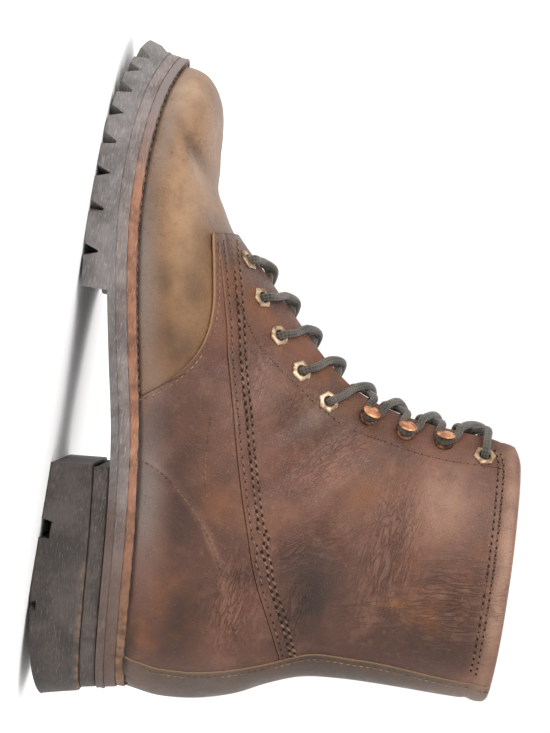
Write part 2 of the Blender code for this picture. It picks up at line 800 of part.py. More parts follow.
# Tongue: a sheet behind the throat, under the wall on both sides.
TONGUE_ROWS = list(range(THROAT_ROW - 1, ROWS - 1)) + [ROWS - 1.4]
TONGUE_STEPS = [EDGE - 4, EDGE - 2, EDGE]
TONGUE_GAP = 0.9


def throat_middle(row):
    """Middle of the boot's front: the vamp's ridge, or half way between the throat's two edges."""
    if row <= THROAT_ROW:
        return section_point(row, OUTER, RIDGE)
    return (section_point(row, OUTER, EDGE) + section_point(row, INNER, EDGE)) / 2


def make_tongue():
    """The tongue follows the wall's own curve and runs straight across the throat."""
    middle = np.array([[throat_middle(row)] for row in TONGUE_ROWS])
    outer = np.concatenate([section_grid(TONGUE_ROWS, OUTER, TONGUE_STEPS), middle], axis=1)
    inner = np.concatenate([section_grid(TONGUE_ROWS, INNER, TONGUE_STEPS), middle], axis=1)
    tongue = sheet_object("tongue", [(outer, True), (inner, False)], BROWN_LEATHER, -(WALL + TONGUE_GAP))
    thicken(tongue, TONGUE_THICK, outward=False)
    return tongue


tongue = make_tongue()
insole = slab(
    "insole",
    SOLE_STATIONS,
    below_welt(-SEAT_GAP - INSOLE_THICK),
    below_welt(-SEAT_GAP),
    LINING_LEATHER,
    FEATHER_INSET + WALL + 1.2,
)


# Eyelets and hooks: nine lacing places on each facing, each set back from its edge by its own inset.
EYELET_PLACES = (0, 1, 2, 3, 4, 8)
HOOK_PLACES = (5, 6, 7)
PLACE_INSETS = (14.0, 18.0, 18.5, 18.0, 16.0, 9.5, 9.5, 9.5, 13.0)
LACING_COUNT = len(PLACE_INSETS)


def facing_point(row, side, inset):
    """A point of the wall's outer face that lies inset from the throat edge, along its section."""
    curve = section_grid([row], side, np.linspace(LOW_STEPS, EDGE, 57))[0][::-1]
    run = np.concatenate([[0], np.cumsum(np.linalg.norm(np.diff(curve, axis=0), axis=1))])
    return np.array([np.interp(inset, run, curve[:, axis]) for axis in range(3)])


def facing_seat(row, side, inset, lift):
    """Place above the facing, its outward normal and the direction up along the throat."""
    place = facing_point(row, side, inset)
    along = facing_point(row + 0.3, side, inset) - facing_point(row - 0.3, side, inset)
    back = facing_point(row, side, inset + 1.5) - facing_point(row, side, max(inset - 1.5, 0))
    along /= np.linalg.norm(along)
    normal = np.cross(along, back) * -side
    normal /= np.linalg.norm(normal)
    return place + lift * normal, normal, along


def lacing_rows():
    """Rows of the nine lacing places, evenly spaced up the throat."""
    rows = np.linspace(THROAT_ROW, ROWS - 1, 120)
    line = np.array([facing_point(row, OUTER, LACING_INSET) for row in rows])
    run = np.concatenate([[0], np.cumsum(np.linalg.norm(np.diff(line, axis=0), axis=1))])
    places = EYELET_FIRST + EYELET_PITCH * np.arange(LACING_COUNT)
    places[-1] = places[-2] + EYELET_TOP_GAP
    return np.interp(places, run, rows)


LACING_ROWS = lacing_rows()
PANEL_FACE = SEAT_GAP + PANEL + SEAT_GAP


def eyelet_mesh():
    """A six-sided flange with a round hole, its rim a little raised."""
    rings = (
        (6, EYELET_FLANGE, 0.0),
        (6, EYELET_FLANGE - 0.5, EYELET_THICK),
        (8, EYELET_HOLE + 0.5, EYELET_THICK + 0.3),
        (8, EYELET_HOLE, 0.0),
    )
    form = bmesh.new()
    loops = []
    for sides, radius, height in rings:
        place = Matrix.Translation((0, 0, height * MM))
        made = bmesh.ops.create_circle(form, segments=sides, radius=radius * MM, matrix=place)
        loops.append(list({edge for vert in made["verts"] for edge in vert.link_edges}))
    for loop, following in zip(loops, loops[1:] + loops[:1]):
        bmesh.ops.bridge_loops(form, edges=loop + following)
    bmesh.ops.recalc_face_normals(form, faces=form.faces)
    mesh = bpy.data.meshes.new("eyelet")
    form.to_mesh(mesh)
    form.free()
    return mesh


HOOK_SIZES = {"width": 8.0, "length": 9.5, "sheet": 0.9, "rise": 5.6, "cap": 8.5}


def hook_mesh():
    """A strip of sheet folded into a hook: base, bend at the throat side and cap above it."""
    size = HOOK_SIZES
    front = -size["length"] / 2
    radius = size["rise"] / 2
    outline = [(size["length"] / 2, 0)]
    inside = [(size["length"] / 2, size["sheet"])]
    for angle in np.radians([-90, -45, 0, 45, 90]):
        x = front + radius - radius * math.cos(angle)
        outline.append((x, radius + radius * math.sin(angle)))
        thin = radius - size["sheet"]
        inside.append((front + radius - thin * math.cos(angle), radius + thin * math.sin(angle)))
    outline.append((front + size["cap"], size["rise"] - 0.4))
    inside.append((front + size["cap"], size["rise"] - 0.4 - size["sheet"]))
    ring = outline + inside[::-1]
    form = bmesh.new()
    half = size["width"] / 2 * MM
    near = [form.verts.new((x * MM, -half, z * MM)) for x, z in ring]
    far = [form.verts.new((x * MM, half, z * MM)) for x, z in ring]
    count = len(ring)
    for i in range(count):
        following = (i + 1) % count
        form.faces.new((near[i], near[following], far[following], far[i]))
    for i in range(count // 2 - 1):
        corners = (i, i + 1, count - 2 - i, count - 1 - i)
        form.faces.new([near[c] for c in corners[::-1]])
        form.faces.new([far[c] for c in corners])
    bmesh.ops.recalc_face_normals(form, faces=form.faces)
    mesh = bpy.data.meshes.new("hook")
    form.to_mesh(mesh)
    form.free()
    return mesh


def fix_on_facing(name, mesh, material, place, side):
    """Sets an eyelet or hook down flat on the facing, its own X away from the throat."""
    spot, normal, along = facing_seat(LACING_ROWS[place], side, PLACE_INSETS[place], PANEL_FACE)
    back = np.cross(along, normal) * side
    turn = Matrix(np.column_stack([back, np.cross(normal, back), normal]).tolist())
    thing = add_object(name, mesh.copy(), material)
    thing.data.transform(Matrix.Translation(Vector(world([spot])[0])) @ turn.to_4x4())


eyelet_form = eyelet_mesh()
hook_form = hook_mesh()
for side, word in ((OUTER, "outer"), (INNER, "inner")):
    for number, place in enumerate(EYELET_PLACES, 1):
        fix_on_facing("eyelet_%s_%d" % (word, number), eyelet_form, BRASS, place, side)
    for number, place in enumerate(HOOK_PLACES, 1):
        fix_on_facing("hook_%s_%d" % (word, number), hook_form, COPPER, place, side)
bpy.data.meshes.remove(eyelet_form)
bpy.data.meshes.remove(hook_form)


# Lace: two runs that cross over the throat from place to place, and the bar at the bottom.
LACE_INSET = 2.4
LACE_LIFT = SEAT_GAP + PANEL + 1.2 + LACE_WIDTH / 2
LACE_ARCH = 1.6


def middle_seat(row, lift):
    """Place above the middle of the throat."""
    across = section_point(row, OUTER, EDGE) - section_point(row, INNER, EDGE)
    along = throat_middle(row + 0.3) - throat_middle(row - 0.3)
    normal = np.cross(along, across)
    normal *= math.copysign(lift, normal[0]) / np.linalg.norm(normal)
    return throat_middle(row) + normal


def lace_run(name, points, collection):
    """A round cord along these points, with closed ends."""
    line = bpy.data.curves.new(name, "CURVE")
    line.dimensions = "3D"
    line.bevel_depth = LACE_WIDTH / 2 * MM
    line.bevel_resolution = 1
    line.use_fill_caps = True
    spline = line.splines.new("POLY")
    spline.points.add(len(points) - 1)
    for point, place in zip(spline.points, world(points)):
        point.co = (*place, 1.0)
    guide = bpy.data.objects.new(name + "_guide", line)
    bpy.context.scene.collection.objects.link(guide)
    graph = bpy.context.evaluated_depsgraph_get()
    mesh = bpy.data.meshes.new_from_object(guide.evaluated_get(graph))
    bpy.data.objects.remove(guide, do_unlink=True)
    form = bmesh.new()
    form.from_mesh(mesh)
    bmesh.ops.remove_doubles(form, verts=form.verts, dist=0.00001)
    bmesh.ops.recalc_face_normals(form, faces=form.faces)
    form.to_mesh(mesh)
    form.free()
    return add_object(name, mesh, LACE_CORD, collection)


def lace_points(first_side):
    """Places that one run passes: from side to side, over the middle of the throat in between."""
    points = []
    for place, row in enumerate(LACING_ROWS):
        side = first_side if place % 2 == 0 else -first_side
        points.append(facing_seat(row, side, LACE_INSET, LACE_LIFT)[0])
        if place + 1 < len(LACING_ROWS):
            points.append(middle_seat((row + LACING_ROWS[place + 1]) / 2, LACE_LIFT + LACE_ARCH))
    return points


lace = lace_run("lace", lace_points(OUTER), boot)
second_run = lace_run("second_run", lace_points(INNER), cutters)
bar_points = [
    facing_seat(LACING_ROWS[0], OUTER, LACE_INSET, LACE_LIFT)[0],
    middle_seat(LACING_ROWS[0], LACE_LIFT + LACE_ARCH),
    facing_seat(LACING_ROWS[0], INNER, LACE_INSET, LACE_LIFT)[0],
]
lowest_bar = lace_run("lowest_bar", bar_points, cutters)
cut(lace, second_run, "UNION")
cut(lace, lowest_bar, "UNION")
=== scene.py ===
"""Left plain toe lace-up work boot: leather, thread, metal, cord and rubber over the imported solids."""

import math

import bmesh
import bpy
import numpy as np
from mathutils import Matrix, Vector

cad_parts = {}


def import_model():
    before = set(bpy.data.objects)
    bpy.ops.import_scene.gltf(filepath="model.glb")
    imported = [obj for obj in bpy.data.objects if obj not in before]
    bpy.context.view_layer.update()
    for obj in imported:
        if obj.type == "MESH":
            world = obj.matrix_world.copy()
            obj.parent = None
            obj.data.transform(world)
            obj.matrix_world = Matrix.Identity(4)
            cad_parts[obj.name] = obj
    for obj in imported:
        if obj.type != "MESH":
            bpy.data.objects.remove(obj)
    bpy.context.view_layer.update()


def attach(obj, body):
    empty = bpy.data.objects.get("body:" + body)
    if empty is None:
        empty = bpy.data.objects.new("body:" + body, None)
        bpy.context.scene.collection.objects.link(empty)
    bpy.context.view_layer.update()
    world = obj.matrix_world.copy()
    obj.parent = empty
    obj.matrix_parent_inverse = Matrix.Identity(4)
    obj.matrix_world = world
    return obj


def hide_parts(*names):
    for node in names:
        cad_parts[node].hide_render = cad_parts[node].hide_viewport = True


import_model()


# Last: the wooden form that gives sole and upper their shape, so nothing of it shows by itself.
# Plan, welt line and slices are the part's own, in millimetres. Stations run from heel back to toe tip.
MM = 0.001
OUTER = 1
INNER = -1
SIDES = {OUTER: "outer", INNER: "inner"}
SOLE_LENGTH = 308.0
HEEL_LEAN = 9.5
TOE_LEAN = 6.0
FEATHER_INSET = 4.0
FOOT_TRIM = 2.0
LOW_STEPS = 4
HIGH_STEPS = 7
EDGE = LOW_STEPS + HIGH_STEPS
RIDGE = EDGE + 1
THROAT_ROW = 11


def table(columns, rows):
    """Named columns of a table, each as an array."""
    return dict(zip(columns.split(), np.array(rows, float).T))


PLAN = table(
    "station outer inner",
    [
        (0, 0, 0),
        (7, 20, 20),
        (20, 30.5, 30.5),
        (42, 36.5, 36),
        (72, 37.5, 35),
        (105, 37.5, 31.5),
        (138, 40.5, 30),
        (168, 46.5, 36),
        (196, 52, 46.5),
        (222, 54, 53),
        (246, 51, 54.5),
        (268, 43.5, 51.5),
        (286, 32, 44.5),
        (299, 17, 34),
        (306, 3, 21),
        (308, -8, 8),
    ],
)
WELT_LINE = table(
    "station height",
    [
        (9, 47.3),
        (50, 44.6),
        (90, 41.4),
        (125, 37.3),
        (160, 31.0),
        (195, 25.3),
        (230, 21.7),
        (255, 21.4),
        (280, 23.4),
        (303, 28.4),
    ],
)
SLICES = table(
    "foot rise top_x top_z outer inner ridge gap widest low_curve high_curve",
    [
        (298, 0, 298, 29, -8, 8, -8, 0, 0.4, 2.2, 2.2),
        (297.4, 0, 297.4, 32.8, 0.5, 17.5, -8, 2, 0.4, 2.2, 2.2),
        (295.6, 0, 295.6, 37.8, 8, 24.5, -8, 3, 0.4, 2.2, 2.2),
        (292.4, 0, 292.4, 41.4, 15, 31, -8, 3, 0.4, 2.2, 2.2),
        (287.5, 0, 287.5, 44.6, 22, 36.5, -7.8, 3, 0.4, 2.2, 2.2),
        (280.5, 0, 280.5, 47, 29.5, 41.5, -7.5, 3, 0.4, 2.2, 2.2),
        (270, 0, 270, 48.5, 37.5, 46.5, -7, 3, 0.38, 2.2, 2.2),
        (258, 0, 258, 49.6, 43, 49, -6.4, 3, 0.36, 2.15, 2.15),
        (247, 0, 247, 51.4, 47, 50, -6, 3, 0.34, 2.1, 2.1),
        (236, 0, 238, 55, 49.5, 50, -5.4, 3, 0.32, 2.05, 1.95),
        (222, 0, 228.5, 60, 50.5, 48.8, -4.6, 3, 0.3, 2, 1.85),
        (206, 0, 220.5, 66, 49.5, 46, -3.8, 3, 0.28, 1.95, 1.75),
        (183, 0, 208.5, 78.4, 46, 40.5, -2.8, 3.6, 0.27, 2.05, 1.65),
        (157, 0, 196, 91.2, 42.5, 36, -2, 4.2, 0.27, 2.05, 1.58),
        (129, 0, 185, 102.7, 40, 34.5, -1.2, 4.8, 0.28, 2.05, 1.58),
        (100, 0, 176.3, 112.7, 38.8, 34.8, -0.6, 5.2, 0.3, 2.05, 1.58),
        (72, 0, 170.5, 120.9, 38, 35.4, -0.2, 5.6, 0.33, 2.05, 1.58),
        (48, 0, 167, 127.2, 37.4, 35.8, 0, 5.8, 0.36, 2.1, 1.58),
        (32, 0, 164.4, 132.7, 37, 36, 0, 6, 0.38, 2.1, 1.58),
        (21.5, 0, 162.4, 137.6, 36.7, 36, 0, 6, 0.4, 2.1, 1.58),
        (15.8, 0, 160.9, 141.7, 36.4, 36, 0, 6, 0.41, 2.1, 1.58),
        (13.6, 0, 159.7, 145.2, 36.2, 35.8, 0, 6, 0.42, 2.1, 1.58),
        (11.6, 6.4, 158.4, 149.5, 36, 35.6, 0, 6, 0.43, 2.1, 1.58),
        (10.4, 15.6, 157, 154.4, 35.7, 35.4, 0, 6, 0.44, 2.1, 1.58),
        (12, 31.6, 155.6, 160.3, 35.4, 35.2, 0, 6, 0.46, 2.1, 1.58),
        (17, 48.6, 154.4, 166.8, 35.2, 35, 0, 6, 0.48, 2.15, 1.58),
        (24.5, 64.6, 153.3, 173.6, 35.2, 35, 0, 6, 0.49, 2.2, 1.58),
        (30, 80, 152.4, 181.1, 35.4, 35.2, 0, 6, 0.5, 2.2, 1.61),
        (32.2, 98, 151.7, 188.7, 35.8, 35.6, 0, 6, 0.5, 2.2, 1.64),
        (32.7, 119.3, 151, 196.2, 36.2, 36, 0, 6, 0.5, 2.2, 1.67),
        (32.7, 142.7, 149.6, 203, 36.6, 36.4, 0, 6, 0.5, 2.2, 1.7),
        (33, 165.5, 146.2, 208.9, 37, 36.8, 0, 6, 0.5, 2.2, 1.73),
    ],
)
LAST_ROW = len(SLICES["foot"]) - 1


def held_slopes(knots, values):
    """Slopes that keep a curve between its rows: harmonic means of both sides, 0 where it turns back."""
    rise = np.diff(values) / np.diff(knots)
    before = np.append(rise[:1], rise)
    after = np.append(rise, rise[-1:])
    same = before * after > 0
    return np.where(same, 2 * before * after / np.where(same, before + after, 1.0), 0.0)


def smooth_column(knots, values, slopes=None):
    """A cubic through a table's rows, with each slope taken from the neighbouring rows unless given."""
    slopes = np.gradient(values, knots) if slopes is None else slopes

    def at(query):
        """The cubic's value: two held values and two slopes, each with its own weight."""
        query = np.clip(np.asarray(query, float), knots[0], knots[-1])
        row = np.clip(np.searchsorted(knots, query, side="right") - 1, 0, len(knots) - 2)
        width = knots[row + 1] - knots[row]
        share = (query - knots[row]) / width
        rest = 1 - share
        return (
            values[row] * rest**2 * (1 + 2 * share)
            + values[row + 1] * share**2 * (1 + 2 * rest)
            + slopes[row] * width * rest**2 * share
            - slopes[row + 1] * width * share**2 * rest
        )

    return at


def plan_angle(station):
    """Runs evenly round the ends of the plan, so that heel and toe come out round."""
    return np.arccos(np.clip(1 - 2 * np.asarray(station, float) / SOLE_LENGTH, -1, 1))


welt_height = smooth_column(WELT_LINE["station"], WELT_LINE["height"])
plan_outer = smooth_column(plan_angle(PLAN["station"]), PLAN["outer"])
plan_inner = smooth_column(plan_angle(PLAN["station"]), PLAN["inner"])


def plan_point(turn, lean):
    """Sole edge: turn runs from the heel along the outer side to the toe and back; lean slopes the ends."""
    turn = np.mod(turn, 2 * math.pi)
    angle = np.where(turn <= math.pi, turn, 2 * math.pi - turn)
    back = HEEL_LEAN * lean
    front = SOLE_LENGTH - TOE_LEAN * lean
    along = back + (front - back) * (1 - np.cos(angle)) / 2
    across = np.where(turn <= math.pi, plan_outer(angle), -plan_inner(angle))
    return np.stack([along, across], axis=-1)


def unit(vectors):
    """Vectors scaled to a length of one."""
    return vectors / np.maximum(np.linalg.norm(vectors, axis=-1), 1e-9)[..., None]


def plan_ring(turn, inset, lean):
    """The sole's edge at these turns, moved in by inset along the edge's own normal."""
    tangent = unit(plan_point(turn + 0.02, lean) - plan_point(turn - 0.02, lean))
    inward = np.stack([tangent[..., 1], -tangent[..., 0]], axis=-1)
    return plan_point(turn, lean) + np.asarray(inset)[..., None] * inward


HALF_TURN = np.linspace(0, math.pi, 241)
PLAN_EDGE = plan_point(np.linspace(0, 2 * math.pi, 721), 0.0)
CENTRE = np.append((PLAN_EDGE.min(axis=0) + PLAN_EDGE.max(axis=0)) / 2, 0.0)
FEATHER = {side: plan_ring(side * HALF_TURN, FEATHER_INSET, 1.0) for side in SIDES}


def world(points):
    """Millimetres at a station become metres about the middle of the sole."""
    return (np.asarray(points, float) - CENTRE) * MM


def slice_columns():
    """The slices' columns as smooth functions of the row, with the height and half widths of their feet."""
    columns = dict(SLICES)
    closed = columns["rise"] > 0
    columns["foot_z"] = welt_height(columns["foot"]) + np.where(closed, columns["rise"], -FOOT_TRIM)
    for side, word in SIDES.items():
        edge = FEATHER[side]
        width = side * np.interp(columns["foot"], edge[:, 0], edge[:, 1])
        width[0] = columns[word][0]
        columns["foot_" + word] = np.where(closed, 0.0, width)
    rows = np.arange(LAST_ROW + 1.0)
    made = {}
    for name, values in columns.items():
        held = name in ("foot_z", "foot_outer", "foot_inner")
        made[name] = smooth_column(rows, values, held_slopes(rows, values) if held else None)
    return made


SLICE_COLUMNS = slice_columns()


LEAST_REACH = 0.2


def paired(row, step):
    """Rows and steps as arrays of one shape."""
    return np.broadcast_arrays(np.asarray(row, float), np.asarray(step, float))


def throat_angle(at, side):
    """Angle at which the upper curve of a slice meets the throat's edge, and that curve's half width."""
    reach = at[SIDES[side]] - side * at["ridge"]
    share = (at["gap"] / np.maximum(reach, LEAST_REACH)) ** (at["high_curve"] / 2)
    return np.arccos(np.clip(share, 0, 1)), reach


def slice_point(row, step, side):
    """A slice of the last: each row is flat from foot to top, its half width a full curve of the step.

    Up to the widest place the half width swells from the foot by a superellipse, above it a second one
    closes to the throat edge, and steps past that edge run on to the ridge.
    """
    row, step = paired(row, step)
    at = {name: column(row) for name, column in SLICE_COLUMNS.items()}
    half = at[SIDES[side]]
    foot = at["foot_" + SIDES[side]]
    low_angle = np.clip(step / LOW_STEPS, 0, 1) * math.pi / 2
    low_power = 2 / at["low_curve"]
    low_share = at["widest"] * (1 - np.maximum(np.cos(low_angle), 0) ** low_power)
    low_across = side * (foot + (half - foot) * np.sin(low_angle) ** low_power)
    high_power = 2 / at["high_curve"]
    closing, reach = throat_angle(at, side)
    high_angle = np.where(
        step <= EDGE,
        np.clip(step - LOW_STEPS, 0, None) / HIGH_STEPS * closing,
        closing + (step - EDGE) * (math.pi / 2 - closing),
    )
    high_share = at["widest"] + (1 - at["widest"]) * np.sin(high_angle) ** high_power
    high_across = at["ridge"] + side * reach * np.maximum(np.cos(high_angle), 0) ** high_power
    share = np.where(step <= LOW_STEPS, low_share, high_share)
    across = np.where(step <= LOW_STEPS, low_across, high_across)
    along = at["foot"] + (at["top_x"] - at["foot"]) * share
    height = at["foot_z"] + (at["top_z"] - at["foot_z"]) * share
    return np.stack([along, across, height], axis=-1)


HEEL_TURN = {"row": 21.2, "spread": 2.4, "reach": 1.2, "step": 0.8}


def wall_base(row, step, side):
    """The last's face: its slices, averaged over neighbouring rows where they turn up round the heel."""
    row, step = paired(row, step)
    points = slice_point(row, step, side)
    near = np.clip(1 - ((row - HEEL_TURN["row"]) / HEEL_TURN["spread"]) ** 2, 0, 1)
    near = near * np.clip(step / HEEL_TURN["step"], 0, 1)
    turning = near > 0
    if turning.any():
        shifts = np.linspace(-1, 1, 9)[:, None] * HEEL_TURN["reach"] * near[turning]
        points[turning] = slice_point(row[turning] + shifts, step[turning], side).mean(axis=0)
    return points


def wall_normal(row, step, side):
    """Outward normal: the cross product of small moves along the row and along the step."""
    row, step = paired(row, step)
    move = 0.03
    after = np.minimum(row + move, LAST_ROW)
    before = np.maximum(row - move, 0)
    above = np.minimum(step + move, RIDGE)
    below = np.maximum(step - move, 0)
    by_row = wall_base(after, step, side) - wall_base(before, step, side)
    by_step = wall_base(row, above, side) - wall_base(row, below, side)
    return unit(side * np.cross(by_row, by_step))


def halve(past, low, high):
    """Where a rule starts to hold between low and high, found by halving the span time and again."""
    for _ in range(36):
        middle = (low + high) / 2
        found = past(middle)
        low = np.where(found, low, middle)
        high = np.where(found, middle, high)
    return (low + high) / 2


def locate(station, height, side):
    """Row and step of the wall's point that is seen at this station and height from the side.

    The slice through the place is found by halving; the place's share of that slice then gives the step
    by turning the two superellipses round.
    """
    station = np.asarray(station, float)
    height = np.asarray(height, float)

    def past(row):
        """Whether the place lies in front of this row's slice."""
        at = {name: SLICE_COLUMNS[name](row) for name in ("foot", "foot_z", "top_x", "top_z")}
        up = (at["top_x"] - at["foot"]) * (height - at["foot_z"])
        return up <= (at["top_z"] - at["foot_z"]) * (station - at["foot"])

    row = halve(past, np.zeros(station.shape), np.full(station.shape, float(LAST_ROW)))
    at = {name: column(row) for name, column in SLICE_COLUMNS.items()}
    run = np.stack([at["top_x"] - at["foot"], at["top_z"] - at["foot_z"]], axis=-1)
    place = np.stack([station - at["foot"], height - at["foot_z"]], axis=-1)
    share = np.clip((run * place).sum(axis=-1) / (run * run).sum(axis=-1), 0, 1)
    low_share = np.clip(1 - share / at["widest"], 0, 1) ** (at["low_curve"] / 2)
    low_step = np.arccos(low_share) / (math.pi / 2) * LOW_STEPS
    high_share = np.clip((share - at["widest"]) / (1 - at["widest"]), 0, 1) ** (at["high_curve"] / 2)
    high_step = LOW_STEPS + np.arcsin(high_share) / throat_angle(at, side)[0] * HIGH_STEPS
    return row, np.where(share <= at["widest"], low_step, np.minimum(high_step, EDGE))


# Creases: the leather's own folds, placed where walking put them and shared by every layer.
# A fold is a soft trough (or ridge, where its depth is negative) about a bent line seen from the side.
FOLDS = table(
    "station height turn reach width depth bend",
    [
        (250, 49, 124, 24, 9.0, 0.6, 0.004),
        (254, 42, 142, 18, 3.0, 1.3, 0.006),
        (263, 45, 140, 18, 5.0, -0.5, 0.006),
        (276, 46, 112, 22, 9.0, -0.6, 0.004),
        (243, 48, 112, 20, 5.0, 0.6, 0.003),
        (231, 50, 108, 18, 4.2, 0.5, 0.002),
        (248, 33, 140, 14, 4.5, 0.5, 0.0),
        (96, 68, 140, 40, 1.7, -0.4, 0.0059),
        (80, 121, 28, 24, 12.0, 2.8, 0.006),
        (106, 111, 40, 30, 9.0, -1.3, 0.003),
        (64, 105, 4, 22, 4.2, 0.9, 0.003),
        (60, 96, 6, 22, 3.8, 0.8, 0.003),
        (58, 88, 4, 20, 3.6, 0.6, 0.002),
        (56, 115, 2, 16, 3.8, 0.8, 0.002),
        (92, 128, 118, 14, 3.4, 0.6, 0.004),
        (98, 122, 116, 14, 3.2, 0.5, 0.004),
        (132, 116, 40, 30, 7.0, 1.1, 0.004),
        (150, 110, 50, 22, 5.0, 0.8, 0.004),
        (122, 131, 36, 28, 8.0, -1.3, 0.002),
        (98, 157, 4, 30, 4.2, 1.0, -0.005),
        (96, 165, 0, 26, 3.4, 0.7, -0.005),
        (102, 150, 8, 26, 3.8, 0.7, -0.005),
        (82, 183, 80, 20, 4.0, 0.6, 0.003),
        (72, 184, 82, 22, 3.6, 0.6, 0.002),
        (62, 180, 84, 20, 3.4, 0.5, 0.001),
        (150, 88, 62, 26, 9.0, -0.8, 0.002),
        (158, 82, 14, 24, 3.2, 0.5, 0.001),
        (156, 76, 12, 22, 3.0, 0.4, 0.001),
        (170, 72, 58, 22, 6.0, 0.6, 0.002),
    ],
)
INNER_SHIFT = {"station": -5.0, "height": 3.0, "start": -9.0, "full": -34.0}
COLLAR = {"front": 146.2, "front_height": 208.9, "back": 33.0, "back_height": 211.3}
COLLAR_BAND = 7.6
COLLAR_SWELL = 0.55
COLLAR_SEAM = {"depth": 0.45, "below": 1.6, "width": 1.7}
COLLAR_ROUND = {"depth": 0.7, "reach": 1.4}
CORNER_RADIUS = 10.0
CORNER_ROW = 6.8
SWELL = {"height": 0.35, "length": 17, "start": 1.3, "rise": 13, "lean": 41, "foot": 60, "full": 40}
SHOULDER = {"place": 1.9, "height": 0.35}


def turned_place(points, station, height, turn):
    """Distances along and across a line at this turn through a place seen from the side.

    The place lies a little elsewhere on the inner side, so that the two sides differ.
    """
    share = (points[..., 1] - INNER_SHIFT["start"]) / (INNER_SHIFT["full"] - INNER_SHIFT["start"])
    share = np.clip(share, 0, 1)
    along = points[..., 0] - station - share * INNER_SHIFT["station"]
    up = points[..., 2] - height - share * INNER_SHIFT["height"]
    angle = math.radians(turn)
    return along * math.cos(angle) + up * math.sin(angle), up * math.cos(angle) - along * math.sin(angle)


def relief(points):
    """Height of the folds: bell-shaped troughs with low shoulders, on a slow swell of the whole shaft."""
    forward = points[..., 0]
    up = points[..., 2]
    total = SWELL["height"] * np.sin(forward / SWELL["length"] + SWELL["start"])
    total *= np.sin(up / SWELL["rise"] + forward / SWELL["lean"])
    total *= np.clip((up - SWELL["foot"]) / SWELL["full"], 0, 1)
    for station, height, turn, reach, width, depth, bend in zip(*FOLDS.values()):
        along, across = turned_place(points, station, height, turn)
        across = across - bend * along**2
        window = np.exp(-((along / reach) ** 4))
        shoulder = np.exp(-(((np.abs(across) - SHOULDER["place"] * width) / width) ** 2))
        total -= depth * window * (np.exp(-((across / width) ** 2)) - SHOULDER["height"] * shoulder)
    return total


def collar_drop(points):
    """How far points lie below the collar's straight line, seen from the side."""
    share = (points[..., 0] - COLLAR["back"]) / (COLLAR["front"] - COLLAR["back"])
    return COLLAR["back_height"] + (COLLAR["front_height"] - COLLAR["back_height"]) * share - points[..., 2]


def collar_band(points):
    """The collar's folded band: a low swell, drawn in at the seam below it and rounded off at the top."""
    drop = np.maximum(collar_drop(points), 0.0)
    swell = COLLAR_SWELL * np.sin(np.clip(drop / COLLAR_BAND, 0, 1) * math.pi)
    away = (drop - COLLAR_BAND - COLLAR_SEAM["below"]) / COLLAR_SEAM["width"]
    seam = COLLAR_SEAM["depth"] * np.exp(-(away**2))
    top = COLLAR_ROUND["depth"] * np.clip(1 - drop / COLLAR_ROUND["reach"], 0, 1) ** 2
    return swell - seam - top


def wall(row, step, side, lift=0.0):
    """A point of the dressed wall: the last's face, moved out by its lift, the folds and the collar's band.

    The front corner of the collar is rounded: there the rows are taken lower along a quarter circle.
    """
    row, step = paired(row, step)
    place = wall_base(row, step, side)
    reach = np.clip((place[..., 0] - COLLAR["front"]) / CORNER_RADIUS + 1, 0, 0.98)
    near_top = np.clip(1 - collar_drop(place) / (2 * CORNER_RADIUS), 0, 1)
    row = row - near_top * CORNER_RADIUS / CORNER_ROW * (1 - np.sqrt(1 - reach**2))
    base = wall_base(row, step, side)
    rise = lift + relief(base) + collar_band(base)
    return base + wall_normal(row, step, side) * rise[..., None]


# Upper: one wall of oiled tan hide, lasted over the form and open at throat, collar and underneath.
# Its fore part shows as the plain toe vamp; the rest lies under the panels and is lined inside.
WALL = 2.2
VAMP_END = 15.0
VAMP_ROWS = np.linspace(0, THROAT_ROW, 200)
SIDE_ROWS = np.linspace(THROAT_ROW, VAMP_END, 60)[1:]
HIDDEN_ROWS = np.linspace(VAMP_END, LAST_ROW, 64)[1:]
WALL_STEPS = np.concatenate([np.linspace(0, LOW_STEPS, 27), np.linspace(LOW_STEPS, EDGE, 38)[1:]])
RIDGE_STEPS = np.linspace(EDGE, RIDGE, 5)
SLIVER = 0.002


def grid_quads(rows, columns, flip, first=0):
    """Four corners of every cell of a grid of points listed row by row."""
    corner = first + np.arange(rows - 1)[:, None] * columns + np.arange(columns - 1)
    quads = np.stack([corner, corner + 1, corner + columns + 1, corner + columns], axis=-1).reshape(-1, 4)
    return quads[:, ::-1] if flip else quads


def make_piece(name, grids, materials, nodes, marks=None, merge=0.005, sharp=None):
    """Joins grids of points, each (rows, columns, 3) with its winding, into one piece of the boot.

    marks holds a value for each point under an attribute's name, for the materials to read. Points
    closer than merge become one, and edges sharper than the angle called sharp stay hard.
    """
    points = np.concatenate([grid.reshape(-1, 3) for grid, _ in grids])
    starts = np.cumsum([0] + [grid.shape[0] * grid.shape[1] for grid, _ in grids])
    quads = [grid_quads(*grid.shape[:2], flip, first) for (grid, flip), first in zip(grids, starts)]
    mesh = bpy.data.meshes.new(name)
    mesh.from_pydata(world(points).tolist(), [], np.concatenate(quads).tolist())
    for word, values in (marks or {}).items():
        layer = mesh.attributes.new(word, "FLOAT", "POINT")
        layer.data.foreach_set("value", np.asarray(values, np.float32).ravel())
    form = bmesh.new()
    form.from_mesh(mesh)
    bmesh.ops.remove_doubles(form, verts=form.verts, dist=merge * MM)
    bmesh.ops.dissolve_degenerate(form, edges=form.edges, dist=SLIVER * MM)
    form.to_mesh(mesh)
    form.free()
    mesh.shade_smooth()
    if sharp:
        mesh.set_sharp_from_angle(angle=math.radians(sharp))
    for material in materials:
        mesh.materials.append(material)
    piece = bpy.data.objects.new(name, mesh)
    bpy.context.scene.collection.objects.link(piece)
    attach(piece, "root")
    if nodes:
        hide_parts(*nodes)
    return piece


